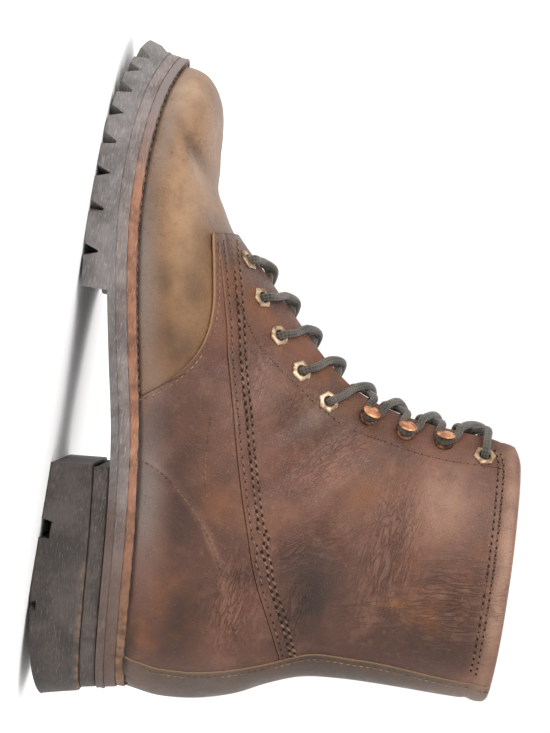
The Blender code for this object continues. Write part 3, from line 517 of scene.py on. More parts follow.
def add_wall(piece, thickness, lining=0):
    """Gives an open sheet its thickness, to the inside, with the material that many slots on as lining."""
    modifier = piece.modifiers.new("wall", "SOLIDIFY")
    modifier.thickness = thickness * MM
    modifier.offset = -1.0
    modifier.use_even_offset = False
    modifier.material_offset = lining


class Finish:
    """A material under construction: a Principled shader, and short calls for the nodes that feed it."""

    def __init__(self, name, **sockets):
        """Starts the material and sets the shader's sockets, whose names have _ for a space."""
        self.material = bpy.data.materials.new(name)
        self.material.use_nodes = True
        self.tree = self.material.node_tree
        self.shader = self.tree.nodes["Principled BSDF"]
        self.place = self.node("ShaderNodeTexCoord").outputs["Object"]
        for socket, value in sockets.items():
            self.shader.inputs[socket.replace("_", " ")].default_value = value

    def node(self, kind, **values):
        """A new node of this kind with these settings."""
        made = self.tree.nodes.new(kind)
        for key, value in values.items():
            setattr(made, key, value)
        return made

    def feed(self, socket, value):
        """Links a node's output to a socket, or sets the socket to a plain value."""
        if isinstance(value, bpy.types.NodeSocket):
            self.tree.links.new(value, socket)
        elif isinstance(value, tuple) and len(value) == 3 and socket.type == "RGBA":
            socket.default_value = (*value, 1.0)
        else:
            socket.default_value = value

    def mark(self, name):
        """An attribute that the piece carries."""
        return self.node("ShaderNodeAttribute", attribute_name=name).outputs["Fac"]

    def noise(self, scale, detail=4.0, roughness=0.55, distortion=0.0, stretch=None):
        """Cloudy noise, from 0 to 1, at this many lumps a metre."""
        made = self.node("ShaderNodeTexNoise")
        self.feed(made.inputs["Vector"], self.stretched(stretch))
        self.feed(made.inputs["Scale"], scale)
        self.feed(made.inputs["Detail"], detail)
        self.feed(made.inputs["Roughness"], roughness)
        self.feed(made.inputs["Distortion"], distortion)
        return made.outputs["Fac"]

    def stretched(self, stretch):
        """Object coordinates, with each axis scaled by its own number."""
        if not stretch:
            return self.place
        made = self.node("ShaderNodeMapping")
        self.feed(made.inputs["Vector"], self.place)
        made.inputs["Scale"].default_value = stretch
        return made.outputs["Vector"]

    def cells(self, scale):
        """Cell pattern of leather grain: distance to the cell's edge."""
        made = self.node("ShaderNodeTexVoronoi", feature="DISTANCE_TO_EDGE")
        self.feed(made.inputs["Vector"], self.place)
        self.feed(made.inputs["Scale"], scale)
        return made.outputs["Distance"]

    def creases(self, turn, pitch, mark):
        """Fine creases at this turn where a mark says: lines in stretched noise, and ridges between."""
        made = self.node("ShaderNodeMapping", vector_type="TEXTURE")
        self.feed(made.inputs["Vector"], self.place)
        made.inputs["Rotation"].default_value = (0.0, -math.radians(turn), 0.0)
        made.inputs["Scale"].default_value = (5.0, 1.0, 1.0)
        cloud = self.node("ShaderNodeTexNoise")
        self.feed(cloud.inputs["Vector"], made.outputs["Vector"])
        self.feed(cloud.inputs["Scale"], 1 / (pitch * MM))
        self.feed(cloud.inputs["Detail"], 2.0)
        self.feed(cloud.inputs["Distortion"], 0.5)
        away = self.math("ABSOLUTE", self.math("SUBTRACT", cloud.outputs["Fac"], 0.5))
        line = self.math("MULTIPLY", self.ramp(away, 0.0, 0.075, 1.0, 0.0), self.mark(mark))
        return line, self.math("MULTIPLY", self.ramp(away, 0.08, 0.18), self.mark(mark))

    def ramp(self, value, low, high, to_low=0.0, to_high=1.0):
        """Smooth step of a value between two limits."""
        made = self.node("ShaderNodeMapRange", interpolation_type="SMOOTHSTEP")
        for socket, number in zip(made.inputs[:5], (value, low, high, to_low, to_high)):
            self.feed(socket, number)
        return made.outputs["Result"]

    def math(self, operation, first, second=0.0):
        """A sum, product or other operation on one or two values."""
        made = self.node("ShaderNodeMath", operation=operation)
        self.feed(made.inputs[0], first)
        self.feed(made.inputs[1], second)
        return made.outputs["Value"]

    def mix(self, share, first, second, blend="MIX"):
        """Blend of two colours."""
        made = self.node("ShaderNodeMix", data_type="RGBA", blend_type=blend)
        self.feed(made.inputs[0], share)
        self.feed(made.inputs[6], first)
        self.feed(made.inputs[7], second)
        return made.outputs[2]

    def bump(self, height, distance, strength=1.0):
        """Adds relief of this depth, in millimetres, to what the shader already has."""
        made = self.node("ShaderNodeBump")
        self.feed(made.inputs["Height"], height)
        self.feed(made.inputs["Distance"], distance * MM)
        self.feed(made.inputs["Strength"], strength)
        if self.shader.inputs["Normal"].links:
            self.feed(made.inputs["Normal"], self.shader.inputs["Normal"].links[0].from_socket)
        self.feed(self.shader.inputs["Normal"], made.outputs["Normal"])

    def colour(self, value):
        """Feeds the shader's colour."""
        self.feed(self.shader.inputs["Base Color"], value)

    def roughness(self, value):
        """Feeds the shader's roughness."""
        self.feed(self.shader.inputs["Roughness"], value)


CREASE_SETS = ((8, 2.1, "fold_along"), (82, 2.4, "fold_up"), (44, 2.0, "fold_slant"))


def hide_finish(name, hide, deep, worn, grain=1000.0, polish=0.40):
    """Oiled leather: cloudy dye, rubbed, soiled and scuffed where the marks say, with pores and creases.
    The worn and dust tones also paint sheen in pale and grey patches, dark patches paint shade in folds,
    and the fine creases get painted shade in their lines and painted highlight on their ridges.
    """
    finish = Finish(name, Coat_Weight=0.06, Coat_Roughness=0.32, Specular_IOR_Level=0.30)
    cloud = finish.noise(20, 4, 0.55, 0.5)
    mottle = finish.noise(90, 6, 0.6)
    speck = finish.noise(480, 4, 0.62)
    colour = finish.mix(finish.ramp(cloud, 0.36, 0.64), deep, hide)
    colour = finish.mix(finish.ramp(mottle, 0.48, 0.78, 0, 0.35), colour, worn)
    # Rubbed and soiled patches hold painted sheen as well as wear and dust; rust and scuffs are wear.
    for word, pattern, low, high, least, tone in (
        ("rub_and_sheen", mottle, 0.22, 0.62, 0.5, worn),
        ("rust", mottle, 0.36, 0.58, 0.0, RUST),
        ("soil_and_sheen", cloud, 0.20, 0.70, 0.7, DUST_AND_SHEEN),
        ("scuff", mottle, 0.30, 0.62, 0.35, SCUFF),
    ):
        share = finish.math("MULTIPLY", finish.mark(word), finish.ramp(pattern, low, high, least))
        colour = finish.mix(share, colour, tone)
    crease, ridge = finish.creases(*CREASE_SETS[0])
    for values in CREASE_SETS[1:]:
        line, hump = finish.creases(*values)
        crease = finish.math("MAXIMUM", crease, line)
        ridge = finish.math("MAXIMUM", ridge, hump)
    # Painted highlight on the ridges between the fine creases, and painted shade in the crease lines.
    colour = finish.mix(finish.math("MULTIPLY", ridge, 0.24), colour, RIDGE_HIGHLIGHT)
    colour = finish.mix(finish.math("MULTIPLY", crease, 0.32), colour, SOOT_AND_SHADE)
    colour = finish.mix(finish.ramp(speck, 0.58, 0.76, 0, 0.40), colour, SOOT_AND_SHADE)
    colour = finish.mix(finish.ramp(speck, 0.44, 0.26, 0, 0.30), colour, worn)
    # Dark patches: stains, and painted shade in folds and in the joint above the welt.
    dark = finish.math("MULTIPLY", finish.mark("dark"), finish.ramp(mottle, 0.30, 0.70, 1.0, 0.72))
    colour = finish.mix(dark, colour, SOOT_AND_SHADE)
    finish.colour(finish.mix(finish.mark("raw"), colour, RAW_EDGE))
    gloss = finish.ramp(mottle, 0.3, 0.7, polish - 0.05, polish + 0.15)
    finish.roughness(finish.math("ADD", gloss, finish.math("MULTIPLY", finish.mark("rust"), 0.12)))
    finish.bump(finish.ramp(finish.cells(grain), 0.0, 0.20), 0.16, 0.7)
    finish.bump(finish.noise(300, 5, 0.65), 0.34, 0.6)
    finish.bump(finish.math("SUBTRACT", 1.0, crease), 0.42, 0.9)
    return finish.material


TAN_HIDE = (0.183, 0.085, 0.033)
TAN_DEEP = (0.100, 0.046, 0.019)
TAN_WORN_AND_SHEEN = (0.312, 0.180, 0.092)
RUST = (0.150, 0.054, 0.016)
DUST_AND_SHEEN = (0.185, 0.152, 0.135)
SCUFF = (0.370, 0.265, 0.190)
SOOT_AND_SHADE = (0.016, 0.008, 0.005)
RIDGE_HIGHLIGHT = (0.250, 0.165, 0.135)
RAW_EDGE = (0.270, 0.150, 0.070)
LINING = (0.200, 0.115, 0.060)

# Patches of wear, painted sheen and painted shade: soft ellipses placed as seen from the side. Columns:
# station, height, reach along its turn, spread across it, turn in degrees and strength.
WEAR_AND_PAINTED_LIGHT = {
    # Rubbing: wear on the toe and collar band, a pale line along the counter's ridge, and painted sheen as
    # pale patches on the vamp's side and the shaft.
    "rub_and_sheen": [
        (222, 40.5, 46, 9, -12, 0.95),
        (283, 31, 14, 8, 20, 0.9),
        (262, 36, 18, 8, 0, 0.6),
        (128, 126, 26, 9, 32, 0.55),
        (120, 176, 19, 17, 0, 0.88),
        (108, 139, 16, 9, 20, 0.35),
        (150, 84, 22, 11, 20, 0.5),
        (90, 206, 62, 6.0, -1, 1.0),
        (114, 46, 9, 1.5, 113, 0.7),
        (102, 62, 11, 1.5, 136, 0.8),
        (85, 76, 12, 1.5, 148, 0.75),
        (65, 86, 12, 1.5, 157, 0.5),
    ],
    "rust": [
        (44, 56, 12, 7, 25, 0.75),
        (33, 58, 8, 9, 0, 0.6),
        (60, 67, 9, 6, 0, 0.5),
        (118, 141, 20, 9, 35, 0.6),
        (72, 162, 8, 2.0, 85, 0.95),
        (104, 76, 11, 7, -40, 0.5),
        (98, 104, 10, 8, 30, 0.35),
        (85, 204, 62, 4, -1, 0.3),
        (68, 178, 16, 14, 0, 0.6),
        (50, 64, 16, 11, 0, 1.0),
        (196, 76, 20, 6, -48, 0.75),
        (172, 106, 22, 6, -62, 0.75),
        (152, 150, 44, 6, -84, 0.55),
        (96, 186, 30, 24, 0, 0.3),
    ],
    # Soiling: dust along the vamp's foot and up the back, and a painted grey sheen low on the quarter.
    "soil_and_sheen": [
        (106, 43, 34, 8, -7, 0.85),
        (150, 38, 16, 8, -12, 0.45),
        (205, 27, 60, 6, -10, 0.8),
        (262, 27, 34, 4.5, 3, 0.6),
        (20, 95, 10, 50, 0, 0.32),
        (34, 190, 10, 30, 0, 0.28),
    ],
    "scuff": [
        (282, 34, 13, 10, 20, 0.50),
        (243, 42, 22, 6, -10, 0.30),
        (120, 176, 16, 13, 0, 0.12),
        (150, 112, 10, 7, 30, 0.18),
        (92, 206, 60, 3.5, -1, 0.35),
    ],
    # Dark patches: blotches and stains, and painted shade in the toe crease, the ankle fold and a fold high
    # on the shaft.
    "dark": [
        (66, 124, 24, 12, -6, 1.0),
        (104, 61, 22, 8, -8, 0.80),
        (84, 62, 26, 8, -8, 0.60),
        (50, 70, 22, 12, 8, 0.86),
        (170, 47, 13, 9, -30, 0.60),
        (195, 50, 17, 6, -25, 0.50),
        (128, 52, 12, 8, -20, 0.35),
        (55, 182, 8, 30, 0, 0.45),
        (128, 60, 16, 7, -10, 0.4),
        (196, 38, 7, 4, -20, 0.5),
        (204, 46, 6, 3, 0, 0.4),
        (186, 47, 7, 3, -30, 0.4),
        (255, 41, 15, 3.0, 142, 0.62),
        (36, 47, 12, 3.5, 0, 0.8),
        (150, 148, 6, 26, 0, 0.3),
        (98, 157, 24, 5, 6, 0.35),
    ],
    "fold_along": [
        (60, 90, 21, 12, 5, 0.9),
        (92, 156, 36, 14, 3, 0.8),
        (157, 82, 24, 8, 8, 0.55),
        (122, 108, 16, 10, 20, 0.4),
        (60, 118, 16, 8, 0, 0.8),
        (228, 48, 14, 6, -20, 0.35),
    ],
    "fold_slant": [
        (128, 120, 26, 11, 43, 0.65),
        (152, 104, 15, 9, 50, 0.45),
        (86, 112, 14, 8, 40, 0.6),
        (100, 138, 18, 9, 40, 0.4),
    ],
    "fold_up": [
        (74, 184, 26, 22, 80, 0.8),
        (94, 126, 15, 10, 110, 0.6),
        (66, 150, 16, 10, 85, 0.6),
        (258, 42, 9, 8, 100, 0.5),
    ],
}
FOOT_DIRT_AND_SHADE = {"start": 1.5, "reach": 1.5}


def wear_and_light_marks(points, raw):
    """Strength of each kind of mark, wear or painted light: the strongest of its soft ellipses, and dirt
    with painted shade along the welt joint.
    """
    marks = {"raw": raw}
    for word, patches in WEAR_AND_PAINTED_LIGHT.items():
        total = np.zeros(points.shape[:-1])
        for station, height, reach, spread, turn, strength in patches:
            along, across = turned_place(points, station, height, turn)
            total = np.maximum(total, strength * np.exp(-((along / reach) ** 2) - (across / spread) ** 2))
        marks[word] = total
    # Darker just above the welt: dirt and painted shade in the joint between welt and upper.
    above = points[..., 2] - welt_height(points[..., 0])
    foot = np.clip(FOOT_DIRT_AND_SHADE["start"] - above / FOOT_DIRT_AND_SHADE["reach"], 0, 1)
    marks["dark"] = np.maximum(marks["dark"], foot)
    return marks


def join_marks(parts):
    """Marks of several grids, in the order of the grids."""
    return {word: np.concatenate([part[word].ravel() for part in parts]) for word in parts[0]}


def lining_finish():
    """Bare calf inside the boot, darkened by wear."""
    finish = Finish("lining_leather", Specular_IOR_Level=0.3)
    cloud = finish.noise(40, 5, 0.6)
    finish.colour(finish.mix(finish.ramp(cloud, 0.3, 0.7), (0.095, 0.050, 0.026), LINING))
    finish.roughness(0.72)
    finish.bump(finish.noise(700, 4, 0.6), 0.15, 0.5)
    return finish.material


def make_upper():
    """Both sides of the wall as one sheet, joined over toe, vamp ridge and back."""
    rows = np.concatenate([VAMP_ROWS, SIDE_ROWS, HIDDEN_ROWS])
    grids = []
    marks = []
    for side in SIDES:
        for part_rows, steps in ((rows, WALL_STEPS), (VAMP_ROWS, RIDGE_STEPS)):
            points = wall(part_rows[:, None], steps[None, :], side)
            grids.append((points, side == OUTER))
            marks.append(wear_and_light_marks(points, np.zeros(points.shape[:-1])))
    tan = hide_finish("tan_leather", TAN_HIDE, TAN_DEEP, TAN_WORN_AND_SHEEN)
    materials = [tan, lining_finish()]
    piece = make_piece("upper_wall", grids, materials, ["upper"], join_marks(marks))
    add_wall(piece, WALL, lining=1)


make_upper()


# Quarters and shaft panels: dark brown sides of the same hide, cut from a second sheet and sewn over
# the wall. The quarter laps the vamp with a raw cut edge; the shaft's lower edge laps the quarter.
SEAT_GAP = 0.3
PANEL = 1.4
PANEL_FACE = SEAT_GAP + PANEL
TAB_ROW = 10.65
EDGE_ROUND = 0.9
BROWN_HIDE = (0.121, 0.046, 0.0260)
BROWN_DEEP = (0.062, 0.024, 0.0140)
BROWN_WORN_AND_SHEEN = (0.232, 0.114, 0.078)
EDGE_SHARES = np.array([0.0, 0.12, 0.3, 0.55, 0.8, 1.0])
RAW_REACH = {"start": 1.3, "width": 0.9}
SEAM_TROUGH = {"inset": 6.6, "width": 1.8, "depth": 0.40}
VAMP_SEAM = table(
    "station height",
    [
        (141, 26.6), (149, 41.2), (157, 49.4), (165.5, 55.2),
        (176.5, 58.6), (189, 59), (203, 56.8), (222.6, 52.6),
    ],
)
SHAFT_SEAM = table(
    "station height",
    [(0, 130.1), (47, 110.5), (72, 98.3), (100, 88.5), (148, 74.7), (197, 62.1), (230, 52.1)],
)
vamp_seam_height = smooth_column(VAMP_SEAM["station"], VAMP_SEAM["height"])
shaft_seam_height = smooth_column(SHAFT_SEAM["station"], SHAFT_SEAM["height"])


def seam_step(rows, side, seam_height, start=-1e9):
    """Step at which each row's slice crosses a seam, found by halving; 0 where the slice starts past it."""

    def past(step):
        """Whether a step of each row lies above the seam."""
        place = wall_base(rows, step, side)
        return (place[..., 2] > seam_height(place[..., 0])) | (place[..., 0] < start)

    return halve(past, np.zeros(rows.shape), np.full(rows.shape, float(EDGE)))


def edge_fall(edge, radius):
    """How far a face falls at this distance from its edge, which is a quarter circle of this radius."""
    return radius * (1 - np.sqrt(1 - np.clip(1 - edge / radius, 0, 1) ** 2))


def panel_grid(rows, low, high, side, count, sewn):
    """A panel between two steps of every row, rounded down at its edges and drawn in where it is sewn.

    The run along each slice is measured in millimetres, so that the round and the seam keep their width.
    """
    low = low[:, None]
    high = high[:, None]
    fine = np.linspace(0, 1, 160)
    curve = wall_base(rows[:, None], low + (high - low) * fine, side)
    run = np.zeros(curve.shape[:-1])
    run[:, 1:] = np.cumsum(np.linalg.norm(np.diff(curve, axis=1), axis=-1), axis=1)
    length = np.maximum(run[:, -1:], 0.5)
    inset = np.minimum(EDGE_ROUND * 1.6, length * 0.3)
    between = inset + (length - 2 * inset) * np.linspace(0, 1, count)[1:-1]
    distance = np.concatenate([inset * EDGE_SHARES, between, length - inset * EDGE_SHARES[::-1]], axis=1)
    share = np.stack([np.interp(place, line, fine) for place, line in zip(distance, run)])
    edge = np.minimum(distance, length - distance)
    away = (distance - SEAM_TROUGH["inset"]) / SEAM_TROUGH["width"]
    lift = PANEL_FACE - SEAM_TROUGH["depth"] * sewn * np.exp(-(away**2)) - edge_fall(edge, EDGE_ROUND)
    return wall(rows[:, None], low + (high - low) * share, side, lift), edge


def panel_rows(start, end, pitch):
    """Rows spaced so that neither sole nor throat gets them farther apart than pitch millimetres."""
    fine = np.linspace(start, end, 500)
    lines = [wall_base(fine, step, OUTER) for step in (2.0, 9.0)]
    moves = [np.linalg.norm(np.diff(line, axis=0), axis=1) for line in lines]
    run = np.append(0.0, np.cumsum(np.max(moves, axis=0)))
    return np.interp(np.linspace(0, run[-1], int(run[-1] / pitch) + 1), run, fine)


def make_panel(name, side, rows, low, high, count, low_raw):
    """One leather panel with its wall; low_raw says how pale its lower cut edge is."""
    points, edge = panel_grid(rows, low, high, side, count, low_raw < 1)
    lower = np.arange(points.shape[1]) < points.shape[1] // 2
    raw = np.where(lower, low_raw, 0.0) * np.clip(RAW_REACH["start"] - edge / RAW_REACH["width"], 0, 1)
    marks = join_marks([wear_and_light_marks(points, raw)])
    grids = [(points, side == OUTER)]
    add_wall(make_piece(name + "_leather", grids, [brown_leather], [name], marks), PANEL)


brown_leather = hide_finish("brown_leather", BROWN_HIDE, BROWN_DEEP, BROWN_WORN_AND_SHEEN, grain=780.0)
QUARTER_END = 26.0
for side, word in SIDES.items():
    rows = panel_rows(TAB_ROW, QUARTER_END, 1.1)
    low = seam_step(rows, side, vamp_seam_height, start=VAMP_SEAM["station"][0])
    high = np.maximum(seam_step(rows, side, shaft_seam_height), low + 0.02)
    make_panel("quarter_" + word, side, rows, low, high, 64, 1.0)
    rows = panel_rows(TAB_ROW, LAST_ROW, 1.25)
    low = seam_step(rows, side, shaft_seam_height)
    make_panel("shaft_" + word, side, rows, low, np.full(rows.shape, float(EDGE)), 120, 0.35)


# Backstay: a strip of greyer hide down the back seam, from collar to welt, with a pale cut edge.
# It is folded over the seam and sewn along both edges.
BACKSTAY_FACE = SEAT_GAP + 2.1
BACKSTAY_HIDE = (0.090, 0.047, 0.027)
BACKSTAY_DEEP = (0.054, 0.031, 0.020)
BACKSTAY_WORN_AND_SHEEN = (0.160, 0.095, 0.062)
BACKSTAY_THICK = 2.0
BACKSTAY_ROUND = 1.2
BACKSTAY_REACH = 26.0
BACKSTAY_RAW = {"strength": 0.8, "start": 1.2, "width": 0.8}
BACKSTAY_SHARES = np.concatenate([[0, 0.02, 0.05, 0.09], np.linspace(0.13, 1, 22)])
BACKSTAY_LINE = table(
    "height station",
    [
        (30, 34), (46, 29), (54, 26), (64, 25), (82, 27), (97, 31),
        (115, 38), (125, 42.5), (150, 44), (190, 42), (225, 42),
    ],
)
BACK_ROWS = np.linspace(0, LAST_ROW, 600)[420:]
BACK_HEIGHTS = np.linspace(46.5, float(SLICE_COLUMNS["foot_z"](LAST_ROW)), 200)
backstay_edge = smooth_column(BACKSTAY_LINE["height"], BACKSTAY_LINE["station"])


def make_backstay():
    """Rows across the back from edge to edge, each at one height; the middle lies on the back seam."""
    shares = BACKSTAY_SHARES
    back = np.interp(BACK_HEIGHTS, SLICE_COLUMNS["foot_z"](BACK_ROWS), SLICE_COLUMNS["foot"](BACK_ROWS))
    station = backstay_edge(BACK_HEIGHTS)[:, None] * (1 - shares) + (back[:, None] + 0.05) * shares
    height = np.broadcast_to(BACK_HEIGHTS[:, None], station.shape)
    lift = BACKSTAY_FACE - edge_fall(shares * BACKSTAY_REACH, BACKSTAY_ROUND) + 0 * station
    outer, inner = [wall(*locate(station, height, side), side, lift) for side in SIDES]
    middle = (outer[:, -1:] + inner[:, -1:]) / 2 * np.array([1, 0, 1])
    points = np.concatenate([outer[:, :-1], middle, inner[:, -2::-1]], axis=1)
    edge = np.concatenate([shares, shares[-2::-1]]) * BACKSTAY_REACH
    raw = BACKSTAY_RAW["strength"] * np.clip(BACKSTAY_RAW["start"] - edge / BACKSTAY_RAW["width"], 0, 1)
    marks = join_marks([wear_and_light_marks(points, np.broadcast_to(raw, points.shape[:2]))])
    grey = hide_finish("backstay_leather", BACKSTAY_HIDE, BACKSTAY_DEEP, BACKSTAY_WORN_AND_SHEEN)
    piece = make_piece("backstay_strip", [(points, False)], [grey], ["backstay"], marks)
    add_wall(piece, BACKSTAY_THICK)


make_backstay()


# Tongue: a soft flap of thin brown hide behind the throat, under both facings, sewn in at the vamp.
# It follows the wall's curve on each side and runs across the throat with a slight crown.
TONGUE_DROP = 3.1
TONGUE_THICK = 2.2
TONGUE_CROWN = 1.2
TONGUE_RIPPLE = {"height": 0.35, "pitch": 2.4, "sway": 1.5, "sway_pitch": 4.0, "reach": 14}


def throat_middle(row, lift):
    """Middle of the throat: half way between its two edges, moved forwards by lift."""
    edges = [wall_base(row, EDGE, side) for side in SIDES]
    front = sum(wall_normal(row, EDGE, side) for side in SIDES)
    front = unit(front * np.array([1, 0, 1]))
    return (edges[0] + edges[1]) / 2 + front * np.asarray(lift)[..., None]


def make_tongue():
    """Rows up the throat; columns from under the outer facing across the opening to under the inner one."""
    rows = np.linspace(THROAT_ROW - 0.8, LAST_ROW - 0.4, 200)
    steps = np.linspace(EDGE - 4.5, EDGE, 16)
    outer, inner = [wall(rows[:, None], steps, side, -TONGUE_DROP) for side in SIDES]
    share = np.linspace(0, 1, 9)[1:-1, None]
    crown = (throat_middle(rows, 0.0) - throat_middle(rows, -1.0))[:, None]
    across = outer[:, -1:] + (inner[:, -1:] - outer[:, -1:]) * share
    across = across + crown * TONGUE_CROWN * (1 - (2 * share - 1) ** 2)
    points = np.concatenate([outer, across, inner[:, ::-1]], axis=1)
    sway = TONGUE_RIPPLE["sway"] * np.sin(points[..., 1] / TONGUE_RIPPLE["sway_pitch"])
    ripple = TONGUE_RIPPLE["height"] * np.sin(points[..., 2] / TONGUE_RIPPLE["pitch"] + sway)
    ripple *= np.exp(-((points[..., 1] / TONGUE_RIPPLE["reach"]) ** 2))
    points = points + crown * ripple[..., None]
    marks = join_marks([wear_and_light_marks(points, np.zeros(points.shape[:2]))])
    piece = make_piece("tongue_flap", [(points, True)], [brown_leather], ["tongue"], marks)
    add_wall(piece, TONGUE_THICK)


make_tongue()


# Thread: waxed tan thread that joins the panels, lying in a row of awl holes along every seam.
# Three rows hold the shaft to the quarter, and single or double rows the other edges.
SEAM_COLUMNS = ("pitch", "length", "width", "height", "slant", "hole", "thread")
SEAM_ROWS = {
    "edge": (3.0, 2.2, 0.36, 0.26, 0, 0.0, "tan"),
    "faint": (3.6, 2.4, 0.40, 0.26, 10, 0.45, "dark"),
    "main": (3.7, 2.7, 0.60, 0.50, 30, 0.72, "dark"),
    "band": (3.3, 2.1, 0.46, 0.42, 22, 0.58, "dark"),
    "fine": (3.2, 1.8, 0.26, 0.16, 0, 0.34, "pressed"),
    "welt": (3.6, 2.9, 0.48, 0.40, 6, 0.0, "dark"),
    "pressed": (2.6, 2.2, 0.32, 0.16, 0, 0.0, "pressed"),
}
SEAM_STYLES = {word: dict(zip(SEAM_COLUMNS, row)) for word, row in SEAM_ROWS.items()}
THREADS = {
    "tan": ("seam_thread", (0.095, 0.050, 0.024), (0.240, 0.135, 0.065)),
    "dark": ("seam_thread_dark", (0.060, 0.032, 0.020), (0.165, 0.096, 0.064)),
    "pressed": ("seam_thread_pressed", (0.060, 0.030, 0.016), (0.165, 0.085, 0.044)),
}
STITCH_SINK = (0.18, -0.30)
HOLE_SHARES = np.array([0.0, 1.0, 0.62, 0.0])
HOLE_RISES = np.array([-0.3, -0.05, 0.12, 0.08])
HOLE_LENGTH = 1.25
COUNTER_LINE = [
    (117, 33), (116, 41), (112, 50), (105, 59), (96, 68), (86, 75.5), (74, 82), (60, 88), (44, 94),
]
FACING_LINE = [
    (207, 64.5), (192, 70), (178.5, 79), (168, 90), (159, 102), (152, 113),
    (146, 125), (141.5, 140), (138.5, 158), (137, 176), (137.5, 199),
]
QUARTER_LINE = [(141, 66.5), (130, 67), (118, 68), (104, 71)]
COLLAR_DROPS = (8.0, 10.6)
COLLAR_ENDS = {"back": 11, "front": -3}
VAMP_EDGE = 2.2
BACKSTAY_EDGE = 2.4
SHAFT_SPAN = {"back": 34, "front": 222}
WELT_SEAM = {"start": 1.05, "inset": 2.4}
SHAFT_ROWS = ((2.0, "faint", 0.0), (5.6, "main", 0.26), (7.7, "main", 0.04))


def smooth_line(places, count=300):
    """A smooth curve through places listed in order, seen from the side."""
    places = np.array(places, float)
    order = np.arange(len(places), dtype=float)
    share = np.linspace(0, order[-1], count)
    return np.stack([smooth_column(order, places[:, axis])(share) for axis in (0, 1)], axis=-1)


def beside(line, offset):
    """The same line moved sideways by offset, to the left of its direction."""
    along = unit(np.gradient(line, axis=0))
    return line + offset * np.stack([-along[:, 1], along[:, 0]], axis=-1)


def path_run(points):
    """Distance run along a line of points, from 0 at the first."""
    return np.append(0.0, np.cumsum(np.linalg.norm(np.diff(points, axis=0), axis=1)))


def along_path(at, run, points):
    """Values of a line's points at these distances of its run."""
    return np.stack([np.interp(at, run, column) for column in points.T], axis=-1)


def seam_spots(line, side, lift, pitch):
    """Evenly spaced places of a seam on the wall, with the directions along it and out of it."""
    row, step = locate(line[:, 0], line[:, 1], side)
    row, step = np.stack([row, step])[:, row > TAB_ROW + 0.3]
    points = wall(row, step, side, lift)
    run = path_run(points)
    count = max(int(run[-1] / pitch), 2)
    at = (np.arange(count) + 0.5) * run[-1] / count
    along = unit(along_path(at + 0.8, run, points) - along_path(at - 0.8, run, points))
    out = along_path(at, run, wall_normal(row, step, side))
    out = unit(out - along * (out * along).sum(axis=1)[:, None])
    return along_path(at, run, points), along, out


def ringed(centres, first, second, sizes, count):
    """Rings about centres (forms, rings, 3), spanned by each form's two directions and scaled by sizes."""
    turn = np.linspace(0, 2 * math.pi, count)[:, None]
    ring = np.cos(turn) * first[:, None, None] + np.sin(turn) * second[:, None, None]
    return centres[:, :, None] + ring * sizes[:, None, None]


def stitch_grids(spots, along, out, style):
    """One small capsule for each spot, at the seam's slant: rings round the thread, closed at both ends."""
    slant = math.radians(style["slant"])
    lie = along * math.cos(slant) + np.cross(out, along) * math.sin(slant)
    share = np.linspace(-1, 1, 7)[:, None]
    sink = STITCH_SINK[0] + STITCH_SINK[1] * share**2
    centres = spots[:, None] + lie[:, None] * (share * style["length"] / 2) + out[:, None] * sink
    thick = np.sqrt(np.clip(1 - share[:, 0] ** 4, 0, 1))
    return ringed(centres, np.cross(out, lie) * style["width"], out * style["height"], thick, 7)


def hole_grids(spots, along, out, style):
    """One awl hole for each spot: a small dark lens, a little longer along the seam."""
    centres = spots[:, None] + out[:, None] * HOLE_RISES[:, None]
    return ringed(centres, along * HOLE_LENGTH, np.cross(out, along), HOLE_SHARES * style["hole"], 9)


def seam_lines():
    """Every sewn line: its places from the side, how far its leather stands off the wall, and its style."""
    vamp = smooth_line(list(zip(VAMP_SEAM["station"], VAMP_SEAM["height"])))
    shaft = smooth_line(list(zip(SHAFT_SEAM["station"], SHAFT_SEAM["height"])))
    shaft = shaft[(shaft[:, 0] > SHAFT_SPAN["back"]) & (shaft[:, 0] < SHAFT_SPAN["front"])]
    back = np.stack([backstay_edge(BACK_HEIGHTS) - BACKSTAY_EDGE, BACK_HEIGHTS], axis=-1)[6:-2]
    ends = [(COLLAR[end] + COLLAR_ENDS[end], COLLAR[end + "_height"]) for end in ("back", "front")]
    collar = np.linspace(*np.array(ends), 200)
    lines = [(beside(vamp, VAMP_EDGE)[18:-4], PANEL_FACE, "edge"), (back, BACKSTAY_FACE, "edge")]
    for offset, style, sunk in SHAFT_ROWS:
        lines.append((beside(shaft, offset), PANEL_FACE - sunk, style))
    lines += [(smooth_line(line), PANEL_FACE, "pressed") for line in (COUNTER_LINE, QUARTER_LINE)]
    lines.append((smooth_line(FACING_LINE), PANEL_FACE, "fine"))
    lines += [(collar - np.array([0, drop]), PANEL_FACE, "band") for drop in COLLAR_DROPS]
    return lines


def thread_finish(name, dark, pale):
    """Waxed thread, soiled unevenly."""
    finish = Finish(name, Specular_IOR_Level=0.35)
    soil_and_sheen = finish.ramp(finish.noise(90, 4, 0.6), 0.35, 0.62)
    finish.colour(finish.mix(soil_and_sheen, dark, pale))
    finish.roughness(0.7)
    finish.bump(finish.noise(2600, 2), 0.08, 0.6)
    return finish.material


def hole_finish():
    """Shadow and old wax in the awl holes."""
    finish = Finish("awl_hole", Specular_IOR_Level=0.1)
    finish.colour(finish.mix(finish.noise(500, 3), (0.010, 0.006, 0.004), (0.035, 0.020, 0.012)))
    finish.roughness(0.9)
    return finish.material


